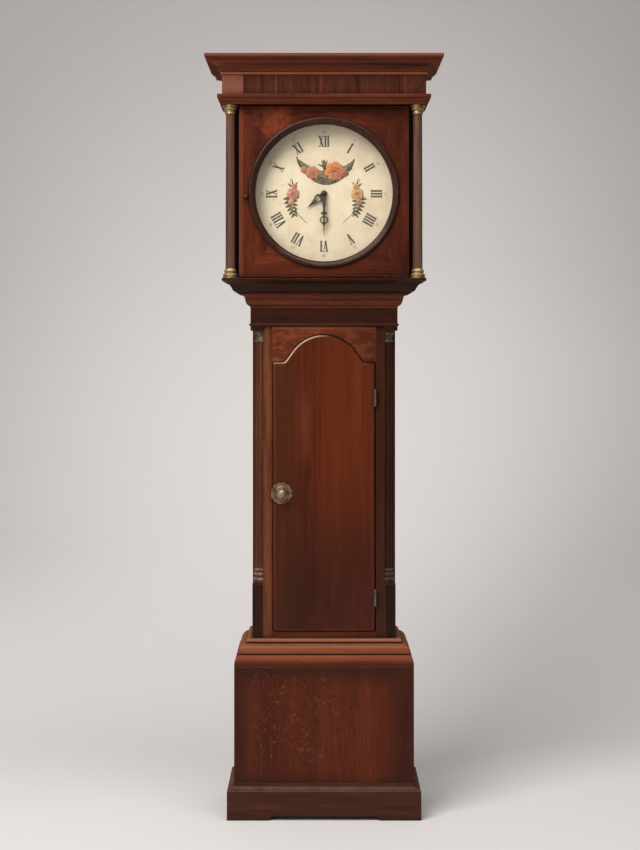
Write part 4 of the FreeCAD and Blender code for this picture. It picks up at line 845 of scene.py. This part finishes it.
# %% Minute figures
FIGURE_RADIUS = 0.1505
FIGURE_TALL = 0.0105
points, faces = [], []
for five in range(1, 13):
    text = bpy.data.curves.new("figure", "FONT")
    text.body = str(5 * five)
    text.size = FIGURE_TALL
    text.align_x = "CENTER"
    text.resolution_u = 3
    text.extrude = FILM / 2.0
    drawn_figure = mesh_of(text)
    start = len(points)
    for vertex in drawn_figure.vertices:
        x, y, z = vertex.co
        points.append(on_dial(math.radians(30.0 * five), x, FIGURE_RADIUS + y, FILM / 2.0 + z))
    faces += [[start + index for index in polygon.vertices] for polygon in drawn_figure.polygons]
    bpy.data.meshes.remove(drawn_figure)
figure_paint = film_paint("figure_paint", (128, 116, 98), (200, 184, 154))
riding_piece("dial_minute_figures", "case", figure_paint, points, faces)
print("minute figures", len(points), "points")

# %% [markdown]
# ## Painted flowers
#
# A basket of roses above the centre and a spray at each side. Every petal and leaf is a small fan of
# triangles whose middle and rim have their own colours, kept on the mesh as a colour layer. A back and a
# rim close each fan into a flake of paint, and each brush stroke is laid a hair in front of the one before.

# %% Brush strokes as fans of triangles
BRUSH_STEP = 0.000003
FLAKE = 0.0001
PETAL_CORNERS = 14
brush = random.Random(7)
paint_points, paint_faces, paint_colours = [], [], []
strokes_laid = {"now": 0, "most": 0}


def varied(colour, spread=10):
    shift = brush.uniform(-spread, spread)
    return linear(*(min(255.0, max(0.0, channel + shift)) for channel in colour))


def fan(outline, middle, inner, outer):
    """A painted flake, lit from the upper left: (x, z) points in millimetres from the dial's centre."""
    strokes_laid["now"] += 1
    strokes_laid["most"] = max(strokes_laid.values())
    lift = FILM + BRUSH_STEP * strokes_laid["now"]
    front = len(paint_points)
    back = front + 1 + len(outline)
    for depth in (lift, lift - FLAKE):
        for x, z in [middle] + outline:
            paint_points.append(Vector((x / 1000.0, DIAL_FACE - depth, DIAL_HEIGHT + z / 1000.0)))
    colours = [varied(inner)]
    for x, z in outline:
        away = math.hypot(x - middle[0], z - middle[1]) or 1.0
        lit = 1.0 + 0.16 * ((z - middle[1]) * 0.8 - (x - middle[0]) * 0.6) / away
        colours.append(varied([channel * lit for channel in outer]))
    paint_colours.extend(colours + colours)
    for index in range(len(outline)):
        here, following = 1 + index, 1 + (index + 1) % len(outline)
        paint_faces.append([front, front + here, front + following])
        paint_faces.append([back, back + following, back + here])
        paint_faces.append([front + here, back + here, back + following, front + following])


def petal(x, z, angle, long, wide, inner, outer, point=0.0):
    """An oval from (x, z) outward along an angle, drawn to a tip by point."""
    sine, cosine = math.sin(angle), math.cos(angle)
    outline = []
    for step in range(PETAL_CORNERS):
        turn = 2.0 * math.pi * step / PETAL_CORNERS
        share = 0.5 - 0.5 * math.cos(turn)
        along = long * share
        across = 0.5 * wide * math.sin(turn) * (1.0 - point * share) * brush.uniform(0.9, 1.1)
        outline.append((x + along * sine + across * cosine, z + along * cosine - across * sine))
    fan(outline, (x + 0.3 * long * sine, z + 0.3 * long * cosine), inner, outer)


def leaf(x, z, degrees, long, wide, tones, point):
    petal(x, z, math.radians(degrees), long, wide, *tones, point)


def stem(path, wide, colour, taper=0.8):
    """A tapering brush line through (x, z) points."""
    for (x0, z0), (x1, z1) in zip(path, path[1:]):
        length = math.hypot(x1 - x0, z1 - z0)
        side_x, side_z = (z1 - z0) / length * wide / 2, -(x1 - x0) / length * wide / 2
        outline = [(x0 - side_x, z0 - side_z), (x0 + side_x, z0 + side_z),
                   (x1 + side_x * taper, z1 + side_z * taper), (x1 - side_x * taper, z1 - side_z * taper)]
        fan(outline, ((x0 + x1) / 2, (z0 + z1) / 2), colour, colour)
        wide *= taper


print("brushes ready")

# %% [markdown]
# A rose is a shadow, then rings of petals from the outside in, each with its dark root, then a curl at its
# heart.

# %% Roses
ROSE_RINGS = ((6, 1.0, 0.95), (5, 0.72, 0.72), (4, 0.46, 0.5))
PINK_ROSE = ((184, 90, 60), (202, 120, 84), (110, 46, 30))
ORANGE_ROSE = ((196, 92, 44), (218, 126, 72), (44, 22, 14))
RED_ROSE = ((138, 48, 42), (186, 92, 74), (74, 28, 26))


def rose(x, z, size, deep, pale, heart):
    for index in range(6):
        leaf(x + 0.05 * size, z - 0.06 * size, 60.0 * index, size * 0.56, size * 0.6, (heart, heart), 0.0)
    root = [0.72 * channel for channel in deep]
    start = 0.1 * size
    for ring, (count, reach, spread) in enumerate(ROSE_RINGS):
        for index in range(count):
            angle = 2.0 * math.pi * (index + 0.5 * ring) / count + 0.3
            petal(x + start * math.sin(angle), z + start * math.cos(angle), angle, size * reach * 0.46,
                  size * spread * 0.5, root, pale)
    curl = 0.05 * size
    for index in range(4):
        angle = 1.7 * index
        petal(x - curl * math.sin(angle), z - curl * math.cos(angle), angle, size * 0.22, size * 0.15, heart,
              deep)


print("roses in", len(ROSE_RINGS), "rings")

# %% [markdown]
# The basket is a crescent of olive green, paler along its upper edge, with a leafy tuft in the middle and
# four roses of different sizes laid over its rim.

# %% Basket of roses above the centre
LEAF_DARK, LEAF_MID, LEAF_PALE = (56, 48, 22), (90, 78, 40), (128, 112, 66)
LEAF = (LEAF_MID, LEAF_DARK)
BASKET_STRIPS, RIM_STEPS = 22, 40
RIM_LEAVES = ((-67, 86, 150), (-61, 72, 140), (72, 82, 210), (66, 68, 222), (-40, 44, 100), (44, 40, 250))
LOW_LEAVES = ((-4, 40, 170), (8, 38, 195), (-14, 40, 140), (20, 36, 215), (-2, 62, 20), (4, 60, -25))


def crescent(share):
    """The basket's upper and lower edge at a share from its left horn to its right one."""
    bow = math.sin(math.pi * share)
    return -68.0 + 143.0 * share, 90.0 - 6.0 * share - 30.0 * bow, 92.0 - 6.0 * share - 66.0 * bow ** 0.62


for index in range(BASKET_STRIPS):
    x0, top0, low0 = crescent(index / BASKET_STRIPS)
    x1, top1, low1 = crescent((index + 1) / BASKET_STRIPS)
    x, middle0, middle1 = (x0 + x1) / 2, (top0 + low0) / 2, (top1 + low1) / 2
    fan([(x0, top0), (x1, top1), (x1, middle1), (x0, middle0)], (x, (top0 + middle1) / 2), LEAF_MID,
        LEAF_PALE)
    fan([(x0, middle0), (x1, middle1), (x1, low1), (x0, low0)], (x, (middle0 + low1) / 2), *LEAF)
half_rim = [step / RIM_STEPS for step in range(RIM_STEPS // 2 + 1)]
stem([crescent(share)[::2] for share in half_rim], 4.2, LEAF_DARK, 0.97)
stem([crescent(1.0 - share)[::2] for share in half_rim], 4.2, LEAF_DARK, 0.97)
for x, z, degrees in RIM_LEAVES:
    leaf(x, z, degrees, 16.0, 7.0, LEAF, 0.7)
for degrees in (-64.0, -22.4, 22.4, 64.0):
    leaf(1.0, 66.0, degrees, 20.0, 7.5, LEAF, 0.8)
leaf(0.0, 70.0, 0.0, 15.0, 9.0, ((150, 104, 62), LEAF_DARK), 0.4)
stem([(1.0, 68.0), (0.0, 52.0), (2.0, 36.0)], 5.0, (96, 62, 34))
rose(-29.0, 53.0, 30.0, *PINK_ROSE)
rose(25.0, 57.0, 44.0, *ORANGE_ROSE)
rose(51.0, 53.0, 19.0, *RED_ROSE)
for degrees in (28, 62):
    leaf(56.0, 56.0, degrees, 17.0, 9.0, ((52, 28, 18), LEAF_DARK), 0.6)
rose(-51.0, 60.0, 15.0, *PINK_ROSE)
for x, z, degrees in LOW_LEAVES:
    leaf(x, z, degrees, 15.0, 7.0, LEAF, 0.7)
print("basket strokes", len(paint_faces))

# %% [markdown]
# The two sprays mirror each other: a bent stem, six pairs of grey-green leaves that get smaller toward its
# tail, and three roses whose colours change places from side to side.

# %% Sprays at the sides
GREY_LEAF = ((84, 80, 54), (48, 47, 28))
SPRAY_ROSES = {-1: ((178, 86, 74), (202, 132, 114), (104, 44, 36)),
               1: ((190, 106, 70), (222, 164, 114), (92, 46, 28))}
SPRAY_PLACE = {-1: 79.5, 1: 84.0}
SPRAY_LINE = ((-1.0, 8.0), (0.0, -12.0), (-5.0, -33.0), (-15.0, -52.0), (-36.0, -73.0))
for side, lean in SPRAY_PLACE.items():
    strokes_laid["now"] = 0
    stem([(side * (lean + x), z) for x, z in SPRAY_LINE], 3.4, (92, 60, 46))
    for low, high in ((-2, 1), (5, 2)):
        stem([(side * (lean + low), 29), (side * (lean + high), 38)], 1.8, GREY_LEAF[0])
    for index in range(6):
        x, z = side * (lean - 0.3 * index * index), -11.0 - 7.5 * index
        leaf(x, z, side * (96 + 9 * index), 23.0 - 1.6 * index, 13.0 - 0.7 * index, GREY_LEAF, 0.6)
        leaf(x, z, side * (-70 - 16 * index), 15.0 - 0.8 * index, 10.0 - 0.5 * index, GREY_LEAF, 0.6)
    for degrees in (-35, 10, 48):
        leaf(side * (lean - 3), 14.0, side * degrees, 19.0, 7.5, GREY_LEAF, 0.7)
    rose(side * (lean - 2), 0.0, 29.0, *SPRAY_ROSES[side])
    rose(side * (lean - 5), 18.0, 14.0, *SPRAY_ROSES[side])
    rose(side * (lean + 3), -20.0, 13.0, *SPRAY_ROSES[-side])
print("all strokes", len(paint_faces), "thickest film", round(FILM + BRUSH_STEP * strokes_laid["most"], 6))

# %% [markdown]
# All strokes become one mesh. Its finish reads the colour layer, lets the ground show where the paint is
# thin, and cracks it with the same net as the ground.

# %% Flower paint
def flower_paint():
    made, surface, plain = new_material("flower_paint")
    laid = add(made.node_tree, "VertexColor", {"layer_name": "paint"}).outputs["Color"]
    thin = ramp(noise(plain, 260.0, 4.0, 0.7), 0.45, 0.72)
    cracks = place(crazing, Vector=plain, Size=0.004)["Cracks"]
    connect(surface, Base_Color=painted(laid, ((232, 214, 180), thin, 0.4), ((120, 96, 70), cracks, 0.35)),
            Roughness=scaled(thin, 0.2, 0.38))
    return made


flowers = riding_piece("dial_flowers", "case", flower_paint(), paint_points, paint_faces)
layer = flowers.data.color_attributes.new("paint", "FLOAT_COLOR", "POINT")
for index, colour in enumerate(paint_colours):
    layer.data[index].color = colour
print("flowers", len(paint_points), "points")

# %% [markdown]
# ## Hands
#
# The hands were sawn and filed from thin sheet and blackened: a boss, a swelling stem, pierced scrolls and a
# fine tip. A flat curve with holes in it gives such an outline directly, its extrusion gives the sheet's
# thickness and a small bevel the filed edge.

# %% Pierced hands
FILED_EDGE = 0.00018
HOUR_BLADE = [(4.4, 5.0), (6.2, 9.5), (9.6, 13), (10.2, 18), (8.2, 24), (5.4, 31), (3.0, 39), (1.5, 47),
              (0, 56)]
HOUR_HOLE = [(1.5, 14), (4.6, 14.8), (6.4, 18.2), (4.8, 23.5), (2.6, 28.5), (1.3, 24)]
MINUTE_BLADE = [(2.8, 5.0), (4.9, 14), (4.4, 26), (2.3, 40), (3.4, 45), (8.0, 49.5), (3.6, 53), (2.6, 56),
                (6.4, 58), (10.4, 64), (9.0, 71), (3.8, 75.5), (1.8, 80), (1.2, 92), (0, 106)]
MINUTE_HOLE = [(2.6, 60.5), (5.6, 61), (7.8, 65), (6.6, 69.5), (3.4, 72), (2.1, 66)]


def closed_line(curve, outline, corner=None):
    """A closed smooth outline in a flat curve, in millimetres; the point numbered corner stays sharp."""
    spline = curve.splines.new("BEZIER")
    spline.bezier_points.add(len(outline) - 1)
    for index, (u, v) in enumerate(outline):
        knot = spline.bezier_points[index]
        knot.co = (u / 1000.0, v / 1000.0, 0.0)
        knot.handle_left_type = knot.handle_right_type = "VECTOR" if index == corner else "AUTO"
    spline.use_cyclic_u = True


def circle(radius):
    turns = [math.pi * step / 6.0 for step in range(12)]
    return [(radius * math.cos(turn), radius * math.sin(turn)) for turn in turns]


def mirrored(outline):
    return [(-u, v) for u, v in outline]


def cut_sheet(thick, edge, holes, corner=None):
    curve = bpy.data.curves.new("sheet_cut", "CURVE")
    curve.dimensions = "2D"
    curve.fill_mode = "BOTH"
    curve.extrude = thick / 2.0 - FILED_EDGE
    curve.bevel_depth = FILED_EDGE
    curve.bevel_resolution = 1
    curve.resolution_u = 8
    closed_line(curve, edge, corner)
    for hole in holes:
        closed_line(curve, hole)
    return mesh_of(curve)


def make_hand(node, body, degrees, boss, bore, blade, hole):
    """A hand in place of its plain CAD node, as thick as that node and turned clockwise from twelve."""
    low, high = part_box(node)
    thick, middle = high[1] - low[1], (low[1] + high[1]) / 2.0
    edge = blade + mirrored(reversed(blade[:-1]))
    shape = bmesh.new()
    for cut in (cut_sheet(thick, edge, [hole, mirrored(hole)], len(blade) - 1),
                cut_sheet(thick, circle(boss), [circle(bore)])):
        shape.from_mesh(cut)
        bpy.data.meshes.remove(cut)
    bmesh.ops.remove_doubles(shape, verts=shape.verts, dist=0.000001)
    for vertex in shape.verts:
        u, v, w = vertex.co
        vertex.co = on_dial(math.radians(degrees), u, v, DIAL_FACE - middle + w)
    mesh = bpy.data.meshes.new(node + "_filed")
    shape.to_mesh(mesh)
    shape.free()
    made = new_piece(mesh, hand_black)
    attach(made, body)
    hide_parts(node)
    return made


hour_hand = make_hand("hour_hand", "hour_pipe", 230.0, 8.0, 5.0, HOUR_BLADE, HOUR_HOLE)
minute_hand = make_hand("minute_hand", "centre_arbor", 180.0, 6.5, 3.5, MINUTE_BLADE, MINUTE_HOLE)
print("hands", len(hour_hand.data.vertices), len(minute_hand.data.vertices), "points")

# %% [markdown]
# ## Moulded edge of the trunk door
#
# The door's edge is worked with a rounded lip that catches the light along the left of the arch. The CAD
# door has a plain rebate there, so a quarter-round strip is swept along the door's outline and sits in that
# rebate. First the outline: straight sides, small hollows at the shoulders and one wide arch.

# %% Outline of the door
DOOR_HALF, DOOR_FOOT, DOOR_SHOULDER = 0.1265, 0.458, 1.128
SHOULDER_IN = 0.106
HOLLOW_HALF, HOLLOW_HEIGHT, HOLLOW_BOW = 0.0946, 1.134, 0.119
ARCH_HALF, ARCH_FOOT, ARCH_RISE = 0.077, 1.158, 0.039


def bowed(start, end, bow, count):
    """Points from start along an arc to end; bow is its height over its length, positive to the left."""
    across, along = end[0] - start[0], end[1] - start[1]
    chord = math.hypot(across, along)
    radius = chord * (0.25 + bow * bow) / (2.0 * abs(bow))
    half = math.asin(min(1.0, chord / (2.0 * radius)))
    run = [start]
    for step in range(1, count + 1):
        turn = -half + 2.0 * half * step / count
        share = 0.5 + radius * math.sin(turn) / chord
        rise = math.copysign(radius * (math.cos(turn) - math.cos(half)), bow) / chord
        run.append((start[0] + across * share - along * rise, start[1] + along * share + across * rise))
    return run


door_line = [(-DOOR_HALF, DOOR_FOOT), (DOOR_HALF, DOOR_FOOT), (DOOR_HALF, DOOR_SHOULDER)]
door_line += bowed((SHOULDER_IN, DOOR_SHOULDER), (HOLLOW_HALF, HOLLOW_HEIGHT), HOLLOW_BOW, 6)
door_line += bowed((ARCH_HALF, ARCH_FOOT), (-ARCH_HALF, ARCH_FOOT), -ARCH_RISE / (2.0 * ARCH_HALF), 28)
door_line += bowed((-HOLLOW_HALF, HOLLOW_HEIGHT), (-SHOULDER_IN, DOOR_SHOULDER), HOLLOW_BOW, 6)
door_line.append((-DOOR_HALF, DOOR_SHOULDER))
print("door outline with", len(door_line), "points")

# %% [markdown]
# The strip's profile is carried round the outline and leans into each corner by half its angle, as a mitre
# does. A pale line on the left half of the arch is a painted highlight, where the lip catches the light.

# %% Door lip
DOOR_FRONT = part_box("trunk_door")[0][1]
LIP_WIDE, LIP_DEEP = 0.004, 0.003


def swept(path, profile):
    """A closed strip: the profile, as (inward, y) points, carried round a closed path in x and z."""
    points, faces = [], []
    count, size = len(path), len(profile)
    for index, (x, z) in enumerate(path):
        before, after = path[index - 1], path[(index + 1) % count]
        first = Vector((x - before[0], z - before[1])).normalized()
        second = Vector((after[0] - x, after[1] - z)).normalized()
        middle = (first + second).normalized()
        inward = Vector((-middle.y, middle.x)) / max(0.4, middle.dot(second))
        points += [(x + inward.x * depth, y, z + inward.y * depth) for depth, y in profile]
        here, following = index * size, (index + 1) % count * size
        for step in range(size):
            turn = (step + 1) % size
            faces.append([here + step, following + step, following + turn, here + turn])
    return points, faces


def lip_highlight(plain, colour):
    x, _, z = split(plain)
    return painted(colour, ((196, 168, 138), ramp(z, 1.1255, 1.1275), ramp(x, 0.02, -0.03), 0.85))


lip_profile = []
for step in range(7):
    turn = math.pi * step / 12.0
    lip_profile.append((LIP_WIDE * (1.0 - math.cos(turn)), DOOR_FRONT + LIP_DEEP * (1.0 - math.sin(turn))))
lip_profile.append((LIP_WIDE, DOOR_FRONT + LIP_DEEP))
points, faces = swept(door_line, lip_profile)
lip_finish = mahogany("door_lip_run", DOOR_TONES, paint=lip_highlight, wear=0.0, dust_and_lit_tops=0.0, gloss=0.5, soil_and_shade_share=0.3)
riding_piece("door_lip", "trunk_door", lip_finish, points, faces, smooth=True)
print("door lip", len(points), "points, front at y", round(DOOR_FRONT, 5))

# %% [markdown]
# ## Rope
#
# One hemp rope goes over the pulley, with the weight on one fall and a small counterweight on the other. Each
# length is three strands laid round a centre line, in hemp that is fibrous and a little soiled.

# %% Twisted strands
ROPE_RADIUS = 0.003
STRAND_RADIUS = 0.00155
STRANDS, STRAND_SIDES = 3, 7
LAY = 0.016


def centre_line(controls, steps):
    """Points read from a smooth spline through the route's controls."""
    curve = bpy.data.curves.new("route", "CURVE")
    curve.dimensions = "3D"
    curve.resolution_u = steps
    spline = curve.splines.new("NURBS")
    spline.points.add(len(controls) - 1)
    for knot, at in zip(spline.points, controls):
        knot.co = (*at, 1.0)
    spline.order_u = 3
    spline.use_endpoint_u = True
    line = mesh_of(curve)
    route = [vertex.co.copy() for vertex in line.vertices]
    bpy.data.meshes.remove(line)
    return route


def hemp_finish():
    made, surface, plain = new_material("hemp")
    fibres = noise(stretched(plain, (1.0, 1.0, 0.3)), 1600.0, 3.0, 0.6)
    colour = painted(linear(120, 96, 64), ((184, 158, 116), ramp(fibres, 0.35, 0.65)),
                     ((96, 78, 56), ramp(noise(plain, 30.0, 3.0), 0.45, 0.7), 0.5))
    connect(surface, Base_Color=colour, Roughness=scaled(fibres, 0.1, 0.82), Normal=bump(fibres, 0.5, 0.0005))
    return made


hemp = hemp_finish()


def laid_rope(name, route):
    """Strands twisted round a route, as closed tubes."""
    points, faces = [], []
    back = Vector((0.0, 1.0, 0.0))
    corners = range(STRAND_SIDES)
    for strand in range(STRANDS):
        travelled = 0.0
        start = len(points)
        for index, at in enumerate(route):
            ahead = (route[min(index + 1, len(route) - 1)] - route[max(index - 1, 0)]).normalized()
            if index:
                travelled += (at - route[index - 1]).length
            side = ahead.cross(back).normalized()
            turn = 2.0 * math.pi * (strand / STRANDS + travelled / LAY)
            middle = at + (side * math.cos(turn) + back * math.sin(turn)) * (ROPE_RADIUS - STRAND_RADIUS)
            for corner in corners:
                way = 2.0 * math.pi * corner / STRAND_SIDES
                points.append(middle + (side * math.cos(way) + back * math.sin(way)) * STRAND_RADIUS)
        last = len(points) - STRAND_SIDES
        for low in range(start, last, STRAND_SIDES):
            high = low + STRAND_SIDES
            for corner in corners:
                following = (corner + 1) % STRAND_SIDES
                faces.append([low + corner, low + following, high + following, high + corner])
        faces.append([start + corner for corner in corners])
        faces.append([last + corner for corner in reversed(corners)])
    return new_piece(new_mesh(name, points, faces, smooth=True), hemp)


print("rope of", STRANDS, "strands")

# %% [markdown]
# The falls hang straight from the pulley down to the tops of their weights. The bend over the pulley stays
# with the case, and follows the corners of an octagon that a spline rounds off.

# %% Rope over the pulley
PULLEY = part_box("rope_pulley")
PULLEY_HEIGHT = (PULLEY[0][2] + PULLEY[1][2]) / 2.0
ROPE_Y = (PULLEY[0][1] + PULLEY[1][1]) / 2.0
ROPE_REACH = 0.024
FALLS = (("weight", 1, 24), ("counterweight", -1, 60))
octagon = ROPE_REACH * math.tan(math.radians(22.5))
half_bend = [(ROPE_REACH, 0.0), (ROPE_REACH, octagon), (octagon, ROPE_REACH)]
bend_controls = [(x, ROPE_Y, PULLEY_HEIGHT + z) for x, z in half_bend + mirrored(reversed(half_bend))]
rope_bend = laid_rope("rope_bend", centre_line(bend_controls, 16))
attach(rope_bend, "case")
rope_pieces = [rope_bend]
for body, side, steps in FALLS:
    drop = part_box(body)[1][2] - PULLEY_HEIGHT
    fall_controls = [(side * ROPE_REACH, ROPE_Y, PULLEY_HEIGHT + drop * step / 6.0) for step in range(7)]
    fall = laid_rope("rope_to_" + body, centre_line(fall_controls, steps))
    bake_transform(fall)
    rope_pieces.append(fall)
for piece in rope_pieces:
    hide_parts("rope")
print("rope falls from", round(PULLEY_HEIGHT, 4), "in", len(rope_pieces), "pieces")

# %% [markdown]
# ## Glass
#
# Old window glass is thin, faintly green and not quite flat. Shadow rays pass straight through it, so the
# dial behind it is lit as it is in a room, and a slow bump makes its reflections waver.

# %% Hood glass
GLASS_TINT = (0.97, 0.985, 0.97, 1.0)


def let_through(made, surface, share, **clear):
    """Let light straight through a material by a share."""
    tree = made.node_tree
    unseen = add(tree, "BsdfTransparent", **clear)
    both = worked("MixShader", {}, (share, surface.outputs[0], unseen.outputs[0]))
    connect(tree.nodes["Material Output"], Surface=both[0])


def window_glass():
    made, surface, plain = new_material("window_glass")
    smears = ramp(noise(plain, 30.0, 4.0), 0.5, 0.9, 0.0, 0.06)
    connect(surface, Base_Color=GLASS_TINT, Transmission_Weight=1.0, IOR=1.45, Roughness=smears,
            Normal=bump(noise(plain, 16.0), 0.05, 0.002))
    path = add(made.node_tree, "LightPath").outputs
    through = sums("MAXIMUM", path["Is Shadow Ray"], path["Is Diffuse Ray"])
    let_through(made, surface, through, Color=GLASS_TINT)
    return made


dress(window_glass(), "hood_glass")
print("glass set")

# %% [markdown]
# ## Studio
#
# The clock stands on a pale sweep of paper that curves up behind it, painted darker away from a painted pool
# of light. The paper is seen from its front alone, so the clock can be walked round.

# %% Paper sweep
LIGHT_POOL_X, LIGHT_POOL_Z, LIGHT_POOL_REACH = 0.1, 0.7, 1.8
SWEEP_FRONT, SWEEP_BACK, SWEEP_CURVE = -7.0, 2.2, 1.5
SWEEP_WIDE, SWEEP_TALL, CURVE_STEPS = 7.0, 5.0, 16


def paper():
    made, surface, plain = new_material("paper")
    x, _, z = split(plain)
    wide = sums("DIVIDE", sums("SUBTRACT", x, LIGHT_POOL_X), LIGHT_POOL_REACH)
    tall = sums("DIVIDE", sums("SUBTRACT", z, LIGHT_POOL_Z), LIGHT_POOL_REACH)
    away = sums("SQRT", sums("ADD", times(wide, wide), times(tall, tall)))
    colour = painted(linear(225, 221, 219), ((166, 161, 160), ramp(away, 0.1, 1.3), ramp(z, 0.0, 0.5)),
                     ((200, 198, 196), noise(plain, 14.0, 5.0), 0.06))
    connect(surface, Base_Color=colour, Roughness=0.9, Specular_IOR_Level=0.1)
    let_through(made, surface, add(made.node_tree, "NewGeometry").outputs["Backfacing"])
    return made


profile = [(SWEEP_FRONT, 0.0), (SWEEP_BACK - SWEEP_CURVE, 0.0)]
for step in range(1, CURVE_STEPS + 1):
    turn = math.pi * step / (2.0 * CURVE_STEPS)
    profile.append((SWEEP_BACK - SWEEP_CURVE * (1.0 - math.sin(turn)), SWEEP_CURVE * (1.0 - math.cos(turn))))
profile.append((SWEEP_BACK, SWEEP_TALL))
points = [(side * SWEEP_WIDE, y, z) for y, z in profile for side in (-1, 1)]
faces = [[2 * step, 2 * step + 1, 2 * step + 3, 2 * step + 2] for step in range(len(profile) - 1)]
sweep = new_piece(new_mesh("paper_sweep", points, faces, smooth=True), paper())
sweep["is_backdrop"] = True
print("sweep with", len(faces), "strips")

# %% [markdown]
# One large soft lamp from the upper left gives the shadow inside the bezel and the one on the floor. A
# second from above draws lights along the mouldings, a weak one stands low on the left, and a dim sky fills
# the rest.

# %% Lamps
def lamp(name, place_at, aim_height, size, power, tone=(1.0, 1.0, 1.0)):
    """A rectangular lamp that points at the clock's middle at some height."""
    made = bpy.data.objects.new(name, bpy.data.lights.new(name, "AREA"))
    scene.collection.objects.link(made)
    made.data.shape = "RECTANGLE"
    made.data.size, made.data.size_y = size
    made.data.energy = power
    made.data.color = tone
    made.location = place_at
    toward = Vector((0.0, 0.0, aim_height)) - Vector(place_at)
    made.rotation_euler = toward.to_track_quat("-Z", "Y").to_euler()
    return made


lamps = (lamp("key_lamp", (-2.1, -2.8, 4.3), 1.0, (2.6, 2.6), 175.0, (1.0, 0.98, 0.95)),
         lamp("top_lamp", (0.3, -1.3, 4.2), 0.9, (3.0, 1.6), 70.0),
         lamp("front_lamp", (-2.9, -4.0, 1.9), 0.9, (1.8, 2.0), 36.0))
sky = bpy.data.worlds.new("studio_air")
sky.use_nodes = True
connect(sky.node_tree.nodes["Background"], Color=(0.9, 0.92, 0.95, 1.0), Strength=0.2)
scene.world = sky
print("lamps", [round(light.data.energy, 1) for light in lamps])

# %% [markdown]
# ## Sizes, and the end
#
# Dressing must not make the clock larger than its CAD model, so the dressed clock's box is printed.

# %% Write the sizes and finish
low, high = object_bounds()
print("visual box", [round(value, 4) for value in (*low, *high)])
